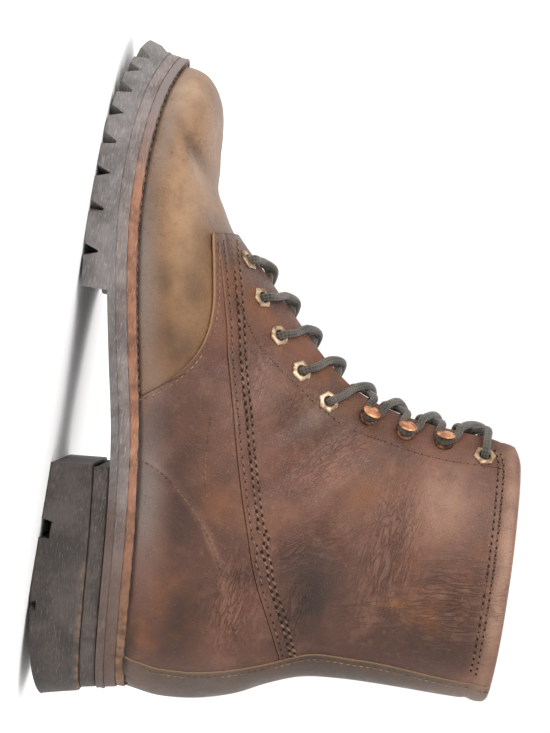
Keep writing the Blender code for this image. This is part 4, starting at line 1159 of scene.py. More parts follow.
def welt_spots(pitch):
    """Evenly spaced places of the welt's seam in its groove, from the waist round the toe."""
    turn = np.linspace(WELT_SEAM["start"], 2 * math.pi - WELT_SEAM["start"], 900)
    ring = plan_ring(turn, WELT_SEAM["inset"], 1.0)
    points = np.column_stack([ring, welt_height(ring[:, 0])])
    run = path_run(points)
    at = np.arange(pitch, run[-1] - pitch, pitch)
    spots = along_path(at, run, points)
    along = unit(along_path(at + 0.6, run, points) - spots)
    return spots, along, np.cross(np.cross(along, (0.0, 0.0, 1.0)), along)


def make_stitches():
    """All seams: one piece each of tan, dark and pressed thread, and one of holes."""
    stitches = {word: [] for word in THREADS}
    holes = []
    welt = SEAM_STYLES["welt"]
    stitches[welt["thread"]].extend(stitch_grids(*welt_spots(welt["pitch"]), welt))
    for side in SIDES:
        for number, (line, lift, word) in enumerate(seam_lines()):
            style = SEAM_STYLES[word]
            spots, along, out = seam_spots(line, side, lift, style["pitch"])
            spots = spots + along * style["pitch"] / 2 * (number % 2)
            stitches[style["thread"]].extend(stitch_grids(spots, along, out, style))
            if style["hole"]:
                holes.extend(hole_grids(spots + along * style["pitch"] / 2, along, out, style))
    pieces = [
        (name, stitches[word], thread_finish(word + "_thread", dark, pale))
        for word, (name, dark, pale) in THREADS.items()
    ]
    for name, grids, material in [*pieces, ("seam_holes", holes, hole_finish())]:
        make_piece(name, [(grid, False) for grid in grids], [material], [], merge=0.002)


make_stitches()


# Insole, welt and midsole: flat layers that follow the welt's line from heel seat to toe spring.
# The welt is a strip of red-brown leather sewn round the upper; under it lies a dark fibre midsole.
WELT_THICK = 4.4
MIDSOLE_THICK = 4.9
WELT_RING = 17.0
INSOLE_THICK = 3.5
INSOLE_INSET = FEATHER_INSET + WALL + 1.2
TURNS = np.linspace(0, 2 * math.pi, 561)
CAP_FILLS = (1.0, 0.7, 0.35)
WELT_FOOT = 4.15
WELT_WAVE = {"height": 0.10, "count": 90, "reach": 3}
WELT_SECTION = [
    (WELT_RING, WELT_FOOT), (WELT_RING, 0.0), (9.0, 0.0), (5.0, 0.0), (3.2, 0.05), (2.4, 0.35),
    (1.8, 0.10), (1.0, 0.0), (0.45, 0.15), (0.12, 0.5), (0.0, 1.1), (0.05, 2.0), (0.0, 3.0),
    (0.05, 3.9), (0.3, WELT_FOOT), (WELT_RING, WELT_FOOT),
]


def inset_loop(loop, inset):
    """A closed loop, clockwise from above, moved in along its own normals."""
    along = unit(np.roll(loop[:-1], -1, axis=0) - np.roll(loop[:-1], 1, axis=0))
    moved = loop[:-1] + np.asarray(inset)[..., None] * np.stack([along[:, 1], -along[:, 0]], axis=-1)
    return np.concatenate([moved, moved[:1]])


def layer_rings(loop_at, top, bottom, inset, rounding, shares, cap=CAP_FILLS, notch=0.0, root=1.0):
    """Rings of a closed layer: over its top from the middle line, round the edge, down and under.

    loop_at gives the outline at a share of the depth, and top and bottom are heights over places of the
    plan. Below the share called root, the outline is drawn in by notch.
    """
    rings = []

    def add(share, more, rise, fill=0.0):
        """One ring at a share of the depth, drawn in by more, and to the middle line by fill."""
        loop = inset_loop(loop_at(share), inset + more + notch * (share > root))
        loop = loop + (loop[::-1] - loop) / 2 * fill
        height = top(loop) * (1 - share) + bottom(loop) * share + rise
        rings.append(np.column_stack([loop, height]))

    for fill in cap:
        add(0.0, rounding, 0.0, fill)
    for angle in np.linspace(0, math.pi / 2, 5):
        add(0.0, rounding * (1 - math.sin(angle)), -rounding * (1 - math.cos(angle)))
    for share in shares:
        add(share, 0.0, 0.0)
    for angle in np.linspace(math.pi / 2, 0, 5):
        add(1.0, rounding * (1 - math.sin(angle)), rounding * (1 - math.cos(angle)))
    for fill in cap[::-1]:
        add(1.0, rounding, 0.0, fill)
    return np.array(rings)


def plan_loop(lean_top, lean_under):
    """The sole's whole outline, whose lean changes from top to under side."""
    return lambda share: plan_point(TURNS, lean_top + (lean_under - lean_top) * share)


def below_welt(drop):
    """Height of a layer that lies this far below the welt's upper face."""
    return lambda loop: welt_height(loop[:, 0]) - drop


def even_shares(count):
    """Shares of the depth of this many rings, evenly spaced between top and under side."""
    return np.linspace(0, 1, count + 2)[1:-1]


SOLE_GREY = (0.165, 0.148, 0.144)
SOLE_DIRT = (0.072, 0.032, 0.017)
SOLE_CLAY = (0.235, 0.135, 0.078)


def worn_finish(name, tone, pale, dark, roughness, streak=0.7):
    """Sole edge: cloudy dirt, pale dust and scratches, with grey, dark dirt and clay where marks say."""
    finish = Finish(name, Specular_IOR_Level=0.35)
    cloud = finish.noise(60, 6, 0.62)
    lines = finish.noise(240, 5, 0.6, stretch=(1.0, 1.0, 9.0))
    speck = finish.noise(900, 3, 0.6)
    colour = finish.mix(finish.ramp(cloud, 0.34, 0.66), dark, tone)
    colour = finish.mix(finish.ramp(lines, 0.50, 0.75, 0, streak), colour, pale)
    colour = finish.mix(finish.ramp(speck, 0.62, 0.74, 0, 0.5), colour, pale)
    colour = finish.mix(finish.mark("grey"), colour, SOLE_GREY)
    colour = finish.mix(finish.mark("dirt"), colour, SOLE_DIRT)
    lumps = finish.ramp(finish.noise(170, 5, 0.65), 0.40, 0.62)
    finish.colour(finish.mix(finish.math("MULTIPLY", finish.mark("clay"), lumps), colour, SOLE_CLAY))
    finish.roughness(finish.ramp(cloud, 0.3, 0.7, roughness - 0.08, roughness + 0.1))
    finish.bump(lines, 0.35, 0.6)
    finish.bump(finish.noise(500, 5, 0.65), 0.25, 0.6)
    return finish.material


def fade(station, full, none):
    """Strength of a mark along the sole: a straight run from 1 at one station to 0 at another."""
    return np.clip((station - none) / (full - none), 0, 1)


def make_welt():
    """A strip round the upper's edge: over its top from the inner rim, round the edge and back under."""
    rings = []
    for inset, drop in WELT_SECTION:
        ring = plan_ring(TURNS, inset, 1.0)
        wave = WELT_WAVE["height"] * np.sin(TURNS * WELT_WAVE["count"]) * (inset < WELT_WAVE["reach"])
        rings.append(np.column_stack([ring, welt_height(ring[:, 0]) - drop + wave]))
    rings = np.array(rings)
    station = rings[..., 0]
    marks = {
        "grey": 0.8 * fade(station, 272, 232),
        "dirt": 0.75 * fade(station, 50, 95),
        "clay": 0.7 * fade(station, 42, 72),
    }
    leather = worn_finish(
        "welt_leather", (0.290, 0.132, 0.078), (0.450, 0.275, 0.190), (0.130, 0.056, 0.032), 0.62
    )
    make_piece("welt_strip", [(rings, False)], [leather], ["welt"], marks)


make_welt()
board = worn_finish(
    "midsole_board", (0.205, 0.168, 0.158), (0.350, 0.310, 0.295), (0.095, 0.074, 0.066), 0.60
)
midsole_top = below_welt(WELT_THICK - 0.2)
midsole_under = below_welt(WELT_THICK + MIDSOLE_THICK)
midsole_rings = layer_rings(plan_loop(0.9, 0.8), midsole_top, midsole_under, 0.25, 0.28, even_shares(5))
heel_dirt = {"dirt": 0.7 * fade(midsole_rings[..., 0], 60, 105)}
make_piece("midsole_layer", [(midsole_rings, False)], [board], ["midsole"], heel_dirt)
insole_top = below_welt(-SEAT_GAP - INSOLE_THICK)
insole_under = below_welt(-SEAT_GAP)
insole_rings = layer_rings(plan_loop(1.0, 1.0), insole_top, insole_under, INSOLE_INSET, 0.9, even_shares(2))
make_piece("insole_board", [(insole_rings, False)], [lining_finish()], ["insole"])


# Outsole: black rubber with deep side lugs under ball and toe, moulded in one with a thin waist.
# Channels and nicks are cut in from the edge; a groove parts the side lugs from a middle row.
OUTSOLE_TOP = WELT_THICK + MIDSOLE_THICK
OUTSOLE_UNDER = OUTSOLE_TOP + 3.6
TREAD_START = 188.0
LUG_DEPTH = 6.4
CHANNELS = (204.0, 239.0, 267.0, 289.0)
CHANNEL_HALF = 2.5
NICKS = (223.0, 254.0, 279.0, 298.0)
NICK_HALF = 2.75
NICK_REACH = 5.5
CUT_TAPER = 0.8
CUT_REACH = 4.4
MIDDLE_CHANNELS = (208.0, 228.0, 248.0, 267.0)
WALL_PAIR = 0.06
GROOVE = {"outer": 17.9, "start": 18.1, "end": 22.9, "inner": 23.1, "last": 292.0}
WAIST_LEAN = 0.72
TREAD_LINE = table(
    "station height",
    [(188, 1.8), (206, 0.4), (214, 0), (250, 0), (262, 0.5), (278, 2.0), (294, 4.8), (308, 8.6)],
)
tread_curve = smooth_column(TREAD_LINE["station"], TREAD_LINE["height"])


def tread_height(station):
    """Under side of the tread, flat on the floor at the ball."""
    return np.maximum(tread_curve(station), 0.0)


def near(station, marks, half):
    """1 where a station lies in a cut about one of these marks."""
    return np.max([np.abs(station - mark) < half for mark in marks], axis=0)


def drawn_in(edge, share):
    """Stations near every cut, drawn to its middle by share, so that its walls lean in to a narrow root."""
    station = edge.copy()
    for marks, half in ((CHANNELS, CHANNEL_HALF), (NICKS, NICK_HALF)):
        narrow = half * (1 - CUT_TAPER * share)
        for mark in marks:
            away = np.abs(edge - mark)
            inside = away * narrow / half
            outside = CUT_REACH - (CUT_REACH - away) * (CUT_REACH - narrow) / (CUT_REACH - half)
            moved = mark + np.sign(edge - mark) * np.where(away < half, inside, outside)
            station = np.where(away < CUT_REACH, moved, station)
    return station


def cut_walls(station, half):
    """Stations just inside and just outside both walls of a cut."""
    return [station + end * (half + side) for end in (-1, 1) for side in (-WALL_PAIR, WALL_PAIR)]


def outsole_turns():
    """Turns round the sole, with close pairs at both walls of every cut."""
    walls = [place for mark in CHANNELS for place in cut_walls(mark, CHANNEL_HALF)]
    walls += [mark + end for mark in NICKS for end in (-NICK_HALF, -0.05, 0.05, NICK_HALF)]
    walls += [TREAD_START - WALL_PAIR, TREAD_START + WALL_PAIR]
    half = np.concatenate([np.linspace(0, math.pi, 420), plan_angle(np.array(walls))])
    half = np.unique(np.round(half, 6))
    return np.concatenate([half, 2 * math.pi - half[-2::-1]])


def make_outsole():
    """Rings from the upper face down the side and under to the middle, lowered or raised by the cuts."""
    turns = outsole_turns()
    edge = plan_point(turns, 0.0)[:, 0]
    tread = edge > TREAD_START
    channel = near(edge, CHANNELS, CHANNEL_HALF) & tread
    nick = np.max([np.clip(1 - np.abs(edge - mark) / NICK_HALF, 0, 1) for mark in NICKS], axis=0)
    nick = nick * tread * NICK_REACH
    grooved = tread & (edge < GROOVE["last"])
    rings = []

    def add(inset, lean, height, fill=0.0, root=0.0):
        """One ring, drawn in by inset and to the middle line by fill, with its cuts drawn in by root."""
        lean = np.where(tread, lean, max(lean, WAIST_LEAN))
        angle = plan_angle(drawn_in(edge, root))
        moved = np.where(tread, np.where(turns <= math.pi, angle, 2 * math.pi - angle), turns)
        ring = plan_ring(moved, np.broadcast_to(inset, turns.shape), lean)
        ring = ring + (ring[::-1] - ring) / 2 * fill
        rings.append(np.column_stack([ring, height(ring)]))

    def lug_root(ring):
        """Root of the cuts in the tread, and the waist's under side behind it."""
        base = welt_height(ring[:, 0]) - OUTSOLE_UNDER
        return np.where(tread, np.minimum(tread_height(ring[:, 0]) + LUG_DEPTH, base - 0.3), base)

    def lug_foot(rise):
        """Height of the lugs' feet, and of the channels between them."""
        return lambda ring: np.where(tread & ~channel, tread_height(ring[:, 0]) + rise, lug_root(ring))

    def groove_root(ring):
        """Root of the groove that parts the side lugs from the middle row."""
        return np.where(grooved, lug_root(ring), lug_foot(0.0)(ring))

    def middle_row(ring):
        """Feet of the middle row's lugs."""
        cut = near(ring[:, 0], MIDDLE_CHANNELS, CHANNEL_HALF)
        return np.where(tread & ~cut, tread_height(ring[:, 0]), lug_root(ring))

    top = below_welt(OUTSOLE_TOP)
    for fill in (1.0, 0.5):
        add(1.0, 0.75, top, fill)
    add(0.35, 0.75, top)
    add(0.08, 0.75, below_welt(OUTSOLE_TOP + 0.12))
    add(0.0, 0.73, below_welt(OUTSOLE_TOP + 0.45))
    add(0.35, 0.68, below_welt(OUTSOLE_UNDER - 1.5))
    add(0.0, 0.6, below_welt(OUTSOLE_UNDER - 0.6))
    add(0.0, 0.35, lug_root, root=1.0)
    add(nick, 0.33, lug_root, root=1.0)
    cut = channel * 1.0
    add(nick, 0.05, lug_foot(0.7), root=cut)
    add(0.25 + nick, 0.0, lug_foot(0.2), root=cut)
    add(0.8 + nick, 0.0, lug_foot(0.0), root=cut)
    for inset in (8.0, 14.0, GROOVE["outer"]):
        add(inset, 0.0, lug_foot(0.0), root=cut)
    for inset in (GROOVE["start"], GROOVE["end"]):
        add(inset, 0.0, groove_root)
    for fill in (0.0, 0.3, 0.6, 0.85, 1.0):
        add(GROOVE["inner"], 0.0, middle_row, fill)
    rubber = worn_finish(
        "sole_rubber", (0.165, 0.150, 0.146), (0.310, 0.285, 0.275), (0.085, 0.074, 0.070), 0.58
    )
    rings = np.array(rings)
    dirt = {"dirt": 0.65 * fade(rings[..., 0], 88, 118)}
    make_piece("outsole_rubber", [(rings, False)], [rubber], ["outsole"], dirt, sharp=40)


make_outsole()


# Heel: a rubber lift moulded under the waist and a thick heel block below it, worn away at the back.
# Both follow the sole's outline back from a straight breast; the block has two cross channels.
HEEL_LENGTH = 109.0
LIFT_UNDER = OUTSOLE_UNDER + 7.6
LIFT_INSET = 1.6
HEEL_CHANNEL = {"station": 79.0, "half": 4.25, "depth": 4.6}
HEEL_SLOT = {"station": 46.0, "half": 2.5, "reach": 18.0, "depth": 4.7}
HEEL_NICK = {"station": 44.0, "half": 2.25, "reach": 3.5, "root": 0.876}
HEEL_LINE = table("station height", [(0, 9.0), (14, 5.4), (32, 2.4), (48, 0.6), (60, 0), (109, 0)])
HEEL_FILLS = (1.0, 0.7, 0.515, 0.5, 0.35)
HEEL_CLAY = {"strength": 0.6, "start": 1.2, "reach": 2.4}
heel_curve = smooth_column(HEEL_LINE["station"], HEEL_LINE["height"])


def heel_loop(lean_top, lean_under):
    """Outline of the heel: the sole's edge back from the breast on both sides, closed straight across."""
    walls = [place for cut in (HEEL_CHANNEL, HEEL_SLOT) for place in cut_walls(cut["station"], cut["half"])]
    walls += [HEEL_NICK["station"] + end * HEEL_NICK["half"] for end in (-1, 0, 1)]
    even = np.linspace(0, float(plan_angle(HEEL_LENGTH)), 170)
    angle = np.unique(np.round(np.concatenate([even, plan_angle(np.array(walls))]), 6))
    share = np.linspace(0, 1, 28)[1:, None]

    def at(depth):
        """The outline at this share of the depth."""
        lean = lean_top + (lean_under - lean_top) * depth
        outer = plan_point(angle, lean)
        inner = plan_point(2 * math.pi - angle, lean)
        middle = (outer[-1] + inner[-1]) / 2
        breast = outer[-1] + (middle - outer[-1]) * share
        back = inner[-1] + (middle - inner[-1]) * share[:-1][::-1]
        return np.concatenate([outer, breast, back, inner[::-1]])

    return at


def within(station, cut):
    """Whether a station lies between the walls of a cut."""
    return np.abs(station - cut["station"]) < cut["half"]


def heel_under(loop):
    """Under side of the heel block: flat, worn round at the back, with a cross channel and a short slot."""
    station, across = loop.T
    worn = np.maximum(heel_curve(station), 0.0)
    height = np.where(within(station, HEEL_CHANNEL), HEEL_CHANNEL["depth"], worn)
    slot = within(station, HEEL_SLOT) & (np.abs(across) < HEEL_SLOT["reach"])
    return np.where(slot, HEEL_SLOT["depth"], height)


def make_heel_block():
    """The block's rings, with a nick cut in from each side, and clay along its upper joint."""
    loop_at = heel_loop(0.45, 0.0)
    away = np.abs(loop_at(1.0)[:-1, 0] - HEEL_NICK["station"]) / HEEL_NICK["half"]
    notch = HEEL_NICK["reach"] * np.clip(1 - away, 0, 1)
    root = HEEL_NICK["root"]
    shares = np.sort(np.append(even_shares(14), (root, root + 0.0005)))
    top = below_welt(LIFT_UNDER + 0.1)
    rings = layer_rings(loop_at, top, heel_under, 0.0, 0.9, shares, HEEL_FILLS, notch, root)
    drop = welt_height(rings[..., 0]) - LIFT_UNDER - rings[..., 2]
    clay = HEEL_CLAY["strength"] * np.clip(HEEL_CLAY["start"] - drop / HEEL_CLAY["reach"], 0, 1)
    marks = {"clay": clay * fade(rings[..., 0], 66, 96)}
    rubber = worn_finish(
        "heel_rubber", (0.064, 0.052, 0.046), (0.185, 0.155, 0.135), (0.030, 0.024, 0.021), 0.6, streak=0.4
    )
    grids = [(rings, False)]
    make_piece("heel_block_rubber", grids, [rubber], ["heel_block"], marks, sharp=50)


lift_rubber = worn_finish(
    "lift_rubber", (0.084, 0.066, 0.058), (0.215, 0.175, 0.145), (0.034, 0.027, 0.024), 0.66, streak=0.5
)
lift_top = below_welt(OUTSOLE_UNDER + SEAT_GAP)
lift_under = below_welt(LIFT_UNDER)
lift_rings = layer_rings(heel_loop(0.6, 0.45), lift_top, lift_under, LIFT_INSET, 0.7, even_shares(6))
make_piece("heel_lift_layer", [(lift_rings, False)], [lift_rubber], ["heel_lift"], sharp=50)
make_heel_block()


# Eyelets and hooks: six-sided brass eyelets, five below and one at the top of each facing, and between
# them three copper hooks with round domed caps, all riveted through the shaft's facing.
EYELET_PITCH = 18.6
EYELET_FIRST = 10.0
EYELET_TOP_GAP = 20.5
LACING_INSET = 14.0
PLACE_INSETS = (14.0, 18.0, 18.5, 18.0, 16.0, 9.5, 9.5, 9.5, 13.0)
EYELET_FLANGE = 5.4
EYELET_HOLE = 2.1
EYELET_PLACES = (0, 1, 2, 3, 4, 8)
HOOK_PLACES = (5, 6, 7)


def facing_spot(row, inset, side, lift):
    """Place that lies inset from the throat edge along its slice, with its row and step."""
    steps = np.linspace(LOW_STEPS, EDGE, 160)
    curve = wall_base(np.full(160, row), steps, side)[::-1]
    step = np.interp(inset, path_run(curve), steps[::-1])
    return wall(np.array([row]), np.array([step]), side, lift)[0], step


def lacing_rows():
    """Rows of the nine lacing places, evenly spaced up the outer facing."""
    rows = np.linspace(THROAT_ROW, LAST_ROW, 120)
    line = np.array([wall_base(row, facing_spot(row, LACING_INSET, OUTER, 0.0)[1], OUTER) for row in rows])
    places = EYELET_FIRST + EYELET_PITCH * np.arange(float(len(PLACE_INSETS)))
    places[-1] = places[-2] + EYELET_TOP_GAP
    return np.interp(places, path_run(line), rows)


LACING_ROWS = lacing_rows()


def facing_frame(place, side, lift):
    """Seat of an eyelet or hook: its place, and its axes away from the throat, along it and outwards."""
    row = LACING_ROWS[place]
    inset = PLACE_INSETS[place]
    spot, step = facing_spot(row, inset, side, lift)
    normal = wall_normal(row, step, side)
    along = facing_spot(row + 0.3, inset, side, lift)[0] - facing_spot(row - 0.3, inset, side, lift)[0]
    along = unit(along - normal * (normal @ along))
    back = np.cross(along, normal) * side
    return spot, np.array([back, np.cross(normal, back), normal])


def turned_form(profile, sides, corner=0.0, count=48):
    """A profile of (radius, height, roundness) rows turned about the upright; 0 roundness is a polygon."""
    turn = np.linspace(0, 2 * math.pi, count + 1)
    wedge = 2 * math.pi / sides
    polygon = math.cos(wedge / 2) / np.cos(np.mod(turn + corner, wedge) - wedge / 2)
    radius, height, roundness = np.array(profile).T[..., None]
    around = radius * (polygon * (1 - roundness) + roundness)
    return np.stack([around * np.cos(turn), around * np.sin(turn), height + 0 * turn], axis=-1)


def set_down(grid, place, side, lift):
    """A form in its own axes, set down on the facing."""
    spot, axes = facing_frame(place, side, lift)
    return spot + grid @ axes


def metal_finish(name, tone, pale, tarnish, roughness):
    """Worn plated metal, tarnished in patches."""
    finish = Finish(name, Metallic=1.0)
    cloud = finish.noise(260, 5, 0.6)
    colour = finish.mix(finish.ramp(cloud, 0.36, 0.62), tarnish, tone)
    finish.colour(finish.mix(finish.ramp(finish.noise(900, 3), 0.55, 0.75, 0, 0.6), colour, pale))
    finish.roughness(finish.ramp(cloud, 0.3, 0.7, roughness + 0.2, roughness))
    finish.bump(finish.noise(1500, 3), 0.06, 0.5)
    return finish.material


brass = metal_finish("eyelet_brass", (0.50, 0.36, 0.24), (0.72, 0.60, 0.47), (0.20, 0.125, 0.075), 0.36)
copper = metal_finish("hook_copper", (0.72, 0.33, 0.16), (0.86, 0.50, 0.30), (0.30, 0.13, 0.07), 0.28)
tarnished = metal_finish(
    "hook_tarnish", (0.16, 0.085, 0.055), (0.34, 0.19, 0.12), (0.05, 0.03, 0.022), 0.45
)
EYELET_PROFILE = [
    (EYELET_FLANGE, 0.0, 0.0),
    (EYELET_FLANGE, 0.35, 0.0),
    (EYELET_FLANGE - 0.35, 0.75, 0.05),
    (EYELET_FLANGE - 1.0, 0.95, 0.25),
    (EYELET_HOLE + 1.2, 1.10, 0.85),
    (EYELET_HOLE + 0.5, 1.00, 1.0),
    (EYELET_HOLE + 0.1, 0.55, 1.0),
    (EYELET_HOLE, -0.4, 1.0),
    (EYELET_HOLE, -3.2, 1.0),
    (EYELET_FLANGE, 0.0, 0.0),
]
HOLE_LIFT = 1.3
HOLE_PROFILE = [
    (0.0, -1.8, 1.0), (EYELET_HOLE, -1.7, 1.0), (EYELET_HOLE, -1.2, 1.0), (EYELET_HOLE * 0.5, -1.25, 1.0),
    (0.0, -1.3, 1.0),
]
CAP_PROFILE = [
    (0.0, 4.7, 1.0), (3.4, 4.7, 1.0), (4.2, 4.85, 1.0), (4.5, 5.15, 1.0),
    (4.3, 5.5, 1.0), (3.4, 5.85, 1.0), (2.0, 6.05, 1.0), (0.0, 6.1, 1.0),
]
BASE_PROFILE = [
    (0.0, 0.0, 1.0), (4.6, 0.0, 1.0), (4.6, 0.5, 1.0), (4.2, 0.85, 1.0), (2.0, 1.0, 1.0), (0.0, 1.05, 1.0),
]
CAP_TILT = math.radians(28)
CAP_SEAT = 5.2
NECK = {"width": 4.6, "thick": 1.0, "middle": 2.35, "rise": 1.75, "front": -3.2}


def tilted(form):
    """A cap leaned towards the throat about its seat."""
    rise = form[..., 2] - CAP_SEAT
    lean = form[..., 0] * math.cos(CAP_TILT) - rise * math.sin(CAP_TILT)
    height = CAP_SEAT + form[..., 0] * math.sin(CAP_TILT) + rise * math.cos(CAP_TILT)
    return np.stack([lean, form[..., 1], height], axis=-1)


def neck_form():
    """The hook's neck: a flat strip bent from base to cap on the throat side, pointed at both ends."""
    angle = np.radians(np.clip(np.linspace(-102, 87, 17), -90, 75))[:, None]
    full = np.clip(np.minimum(np.arange(17), np.arange(17)[::-1]), 0, 1)[:, None]
    turn = np.linspace(0, 2 * math.pi, 13)
    wide = np.sign(np.cos(turn)) * np.abs(np.cos(turn)) ** 0.4 * NECK["width"] / 2
    deep = full * np.sign(np.sin(turn)) * np.abs(np.sin(turn)) ** 0.7 * NECK["thick"] / 2
    along = NECK["front"] * np.cos(angle) - np.cos(angle) * deep
    height = NECK["middle"] + NECK["rise"] * np.sin(angle) + np.sin(angle) * deep
    return np.stack([along, full * wide, height], axis=-1)


def make_fittings(name, forms, places, side, lift, material, nodes, sharp=None):
    """One piece of small forms, all of them set down at each of these places of a facing."""
    grids = [(set_down(form, place, side, lift), False) for place in places for form in forms]
    make_piece(name, grids, [material], nodes, merge=0.002, sharp=sharp)


eyelet = turned_form(EYELET_PROFILE, 6, math.radians(15))
dish = turned_form(HOLE_PROFILE, 12, count=24)
cap = tilted(turned_form(CAP_PROFILE, 12))
neck = [turned_form(BASE_PROFILE, 12), neck_form()]
for side, word in SIDES.items():
    nodes = ["eyelet_%s_%d" % (word, number) for number in range(1, 7)]
    make_fittings("eyelets_" + word, [eyelet], EYELET_PLACES, side, PANEL_FACE, brass, nodes, 40)
    # A dark dish sits in each eyelet's hole: painted shadow in the hole.
    lift = PANEL_FACE + HOLE_LIFT
    shade = hole_finish()
    make_fittings("eyelet_holes_" + word, [dish], EYELET_PLACES, side, lift, shade, [])
    nodes = ["hook_%s_%d" % (word, number) for number in range(1, 4)]
    make_fittings("hooks_" + word, [cap], HOOK_PLACES, side, PANEL_FACE, copper, nodes, 50)
    make_fittings("hook_necks_" + word, neck, HOOK_PLACES, side, PANEL_FACE, tarnished, [], 50)


# Lace: one round braided cord of dark olive cotton, up through the eyelets, over the throat from side to
# side, round the hooks' necks under their caps, and down into the top eyelets, where its ends are hidden.
LACE_RADIUS = 1.8
LACE_SIDES = 14


TOP_PLACE = len(PLACE_INSETS) - 1
LACE_OVER = {True: 5.6, False: 2.6}
LACE_BAR_DROP = -0.5


def lace_spot(place, side, inset, lift, shift=0.0):
    """A place of the lace: inset from the throat edge, above or under the facing, shifted up the throat."""
    step = LACING_ROWS[min(place + 1, TOP_PLACE)] - LACING_ROWS[min(place, TOP_PLACE - 1)]
    row = np.clip(LACING_ROWS[place] + shift * step, THROAT_ROW, LAST_ROW)
    return facing_spot(float(row), inset, side, lift)[0]


def lace_route(place):
    """Inset, lift and shift of each place that the lace passes at a hook or an eyelet."""
    seat = PLACE_INSETS[place]
    if place in HOOK_PLACES:
        before = [(2.0, 4.6, -0.24), (6.0, 3.9, -0.23)]
        return [*before, (seat + 0.8, 3.0, 0.0), (6.0, 3.9, 0.23), (2.0, 4.6, 0.22)]
    if place == TOP_PLACE:
        before = [(1.0, 6.0, 0.0), (seat - 5.0, 7.0, 0.0), (seat - 1.2, 5.2, 0.0)]
        return [*before, (seat, 1.6, 0.0), (seat, -3.0, 0.0)]
    under = [(3.0, -3.4, -0.15), (seat - 5.0, -4.2, -0.08), (seat - 0.4, -3.4, 0.0), (seat, 1.2, 0.0)]
    return [*under, (seat - 2.0, 3.8, 0.04), (seat - 7.0, 4.0, 0.12), (2.0, 4.4, 0.2)]


def lace_run(first_side):
    """Places that one half of the lace passes, from the bar at the bottom to the top eyelet."""
    points = [throat_middle(LACING_ROWS[0], LACE_BAR_DROP)]
    for place, row in enumerate(LACING_ROWS):
        side = first_side if place % 2 == 0 else -first_side
        points += [lace_spot(place, side, *values) for values in lace_route(place)]
        if place < TOP_PLACE:
            points.append(throat_middle((row + LACING_ROWS[place + 1]) / 2, LACE_OVER[side == OUTER]))
    return np.array(points)


def smooth_path(points, count):
    """A smooth cubic through the places, by the root of the distance between them."""
    run = np.append(0.0, np.cumsum(np.sqrt(np.diff(path_run(points)))))
    share = np.linspace(0, run[-1], count)
    return np.stack([smooth_column(run, column)(share) for column in points.T], axis=-1)


def tube(path, radius, sides):
    """A round profile carried along a path, its frame turned as little as can be from place to place.

    It closes round at both ends. Also gives each point's share of a turn and its distance along the path.
    """
    along = unit(np.gradient(path, axis=0))
    side = np.cross(along[0], (0.0, 0.0, 1.0))
    frames = []
    for direction in along:
        side = unit(side - direction * (side @ direction))
        frames.append(side)
    first = np.array(frames)[:, None]
    second = np.cross(along, np.array(frames))[:, None]
    turn = np.linspace(0, 2 * math.pi, sides + 1)
    ring = np.cos(turn)[:, None] * first + np.sin(turn)[:, None] * second
    run = path_run(path)
    end = np.clip(np.minimum(run, run[-1] - run) / radius, 0, 1)
    body = path[:, None] + ring * (radius * np.sqrt(1 - (1 - end) ** 2))[:, None, None]
    share, run = np.broadcast_arrays(turn / (2 * math.pi), run[:, None])
    return body, share, run


def lace_finish():
    """Braided cord: strands that cross at a slant round it, in dusty black olive."""
    finish = Finish("lace_cord", Specular_IOR_Level=0.25, Sheen_Weight=0.25, Sheen_Roughness=0.5)
    turn = finish.math("MULTIPLY", finish.mark("turn"), 8 * math.pi)
    run = finish.math("MULTIPLY", finish.mark("run"), 2 * math.pi / 2.6)
    left = finish.math("SINE", finish.math("ADD", turn, run))
    right = finish.math("SINE", finish.math("SUBTRACT", turn, run))
    braid = finish.math("MULTIPLY", left, right)
    dust = finish.ramp(finish.noise(120, 5, 0.6), 0.35, 0.7)
    colour = finish.mix(finish.ramp(braid, -1.0, 1.0), (0.014, 0.012, 0.009), (0.070, 0.060, 0.047))
    finish.colour(finish.mix(finish.math("MULTIPLY", dust, 0.45), colour, (0.165, 0.135, 0.108)))
    finish.roughness(0.82)
    finish.bump(finish.ramp(braid, -1.0, 1.0), 0.28, 0.8)
    return finish.material


def make_lace():
    """Both halves of the lace in one piece."""
    halves = [tube(smooth_path(lace_run(side), 900), LACE_RADIUS, LACE_SIDES) for side in SIDES]
    bodies, turns, runs = zip(*halves)
    marks = {"turn": np.concatenate(turns), "run": np.concatenate(runs)}
    grids = [(body, False) for body in bodies]
    make_piece("lace_braid", grids, [lace_finish()], ["lace"], marks, merge=0.002)


make_lace()


# Camera, floor and light: the photograph's own view of the outer side, turned so that the toe is up.
# A plain pale floor under the sole, and soft light from large panels.
CAMERA_PLACE = Vector((0.015, 0.900, 0.100))
CAMERA_TARGET = Vector((0.013, 0.0, 0.091))
CAMERA_ROLL = math.radians(9.5)
VIEW_HEIGHT = 0.340


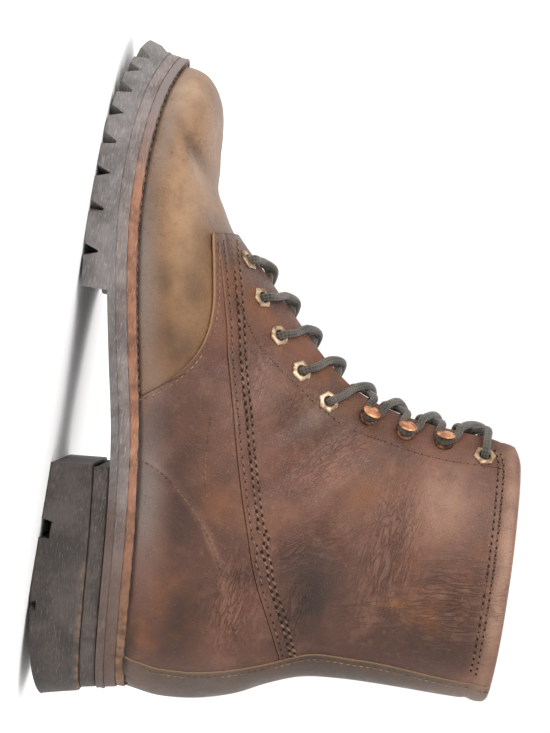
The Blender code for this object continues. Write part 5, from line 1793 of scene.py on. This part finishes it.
def make_camera():
    """Camera on the outer side, its upright along the boot's length."""
    back = (CAMERA_PLACE - CAMERA_TARGET).normalized()
    right = Vector((math.cos(CAMERA_ROLL), 0, -math.sin(CAMERA_ROLL))).cross(back).normalized()
    upright = back.cross(right)
    data = bpy.data.cameras.new("camera")
    data.sensor_fit = "AUTO"
    data.angle = 2 * math.atan(VIEW_HEIGHT / 2 / (CAMERA_PLACE - CAMERA_TARGET).length)
    camera = bpy.data.objects.new("camera", data)
    turn = Matrix((right, upright, back)).transposed().to_4x4()
    camera.matrix_world = Matrix.Translation(CAMERA_PLACE) @ turn
    bpy.context.scene.collection.objects.link(camera)
    bpy.context.scene.camera = camera


def make_floor():
    """A wide round floor at the height of the tread."""
    mesh = bpy.data.meshes.new("floor")
    form = bmesh.new()
    bmesh.ops.create_circle(form, cap_ends=True, segments=96, radius=9.0)
    form.to_mesh(mesh)
    form.free()
    finish = Finish("floor_paper", Roughness=0.9)
    finish.colour(finish.mix(finish.noise(3.0), (0.965, 0.963, 0.962), (0.975, 0.973, 0.972)))
    mesh.materials.append(finish.material)
    floor = bpy.data.objects.new("floor", mesh)
    bpy.context.scene.collection.objects.link(floor)


LIGHTS = {
    "key": ((0.85, 1.05, 0.70), 0.9, 15.0),
    "fill": ((-0.8, 1.0, 0.9), 1.4, 3.0),
    "back": ((0.1, -1.2, 1.3), 1.4, 10.0),
}


def make_lights():
    """Large square panels that all face the boot, under a pale sky."""
    for name, (place, size, power) in LIGHTS.items():
        data = bpy.data.lights.new(name, "AREA")
        data.size = size
        data.energy = power
        lamp = bpy.data.objects.new(name, data)
        lamp.location = place
        aim = Vector((0, 0, 0.09)) - Vector(place)
        lamp.rotation_euler = aim.to_track_quat("-Z", "Y").to_euler()
        bpy.context.scene.collection.objects.link(lamp)
    world_light = bpy.data.worlds.new("studio")
    world_light.use_nodes = True
    sky = world_light.node_tree.nodes["Background"]
    sky.inputs["Color"].default_value = (1.0, 0.99, 0.98, 1.0)
    sky.inputs["Strength"].default_value = 1.05
    bpy.context.scene.world = world_light


bpy.context.scene.view_settings.view_transform = "Standard"
make_camera()
make_floor()
make_lights()
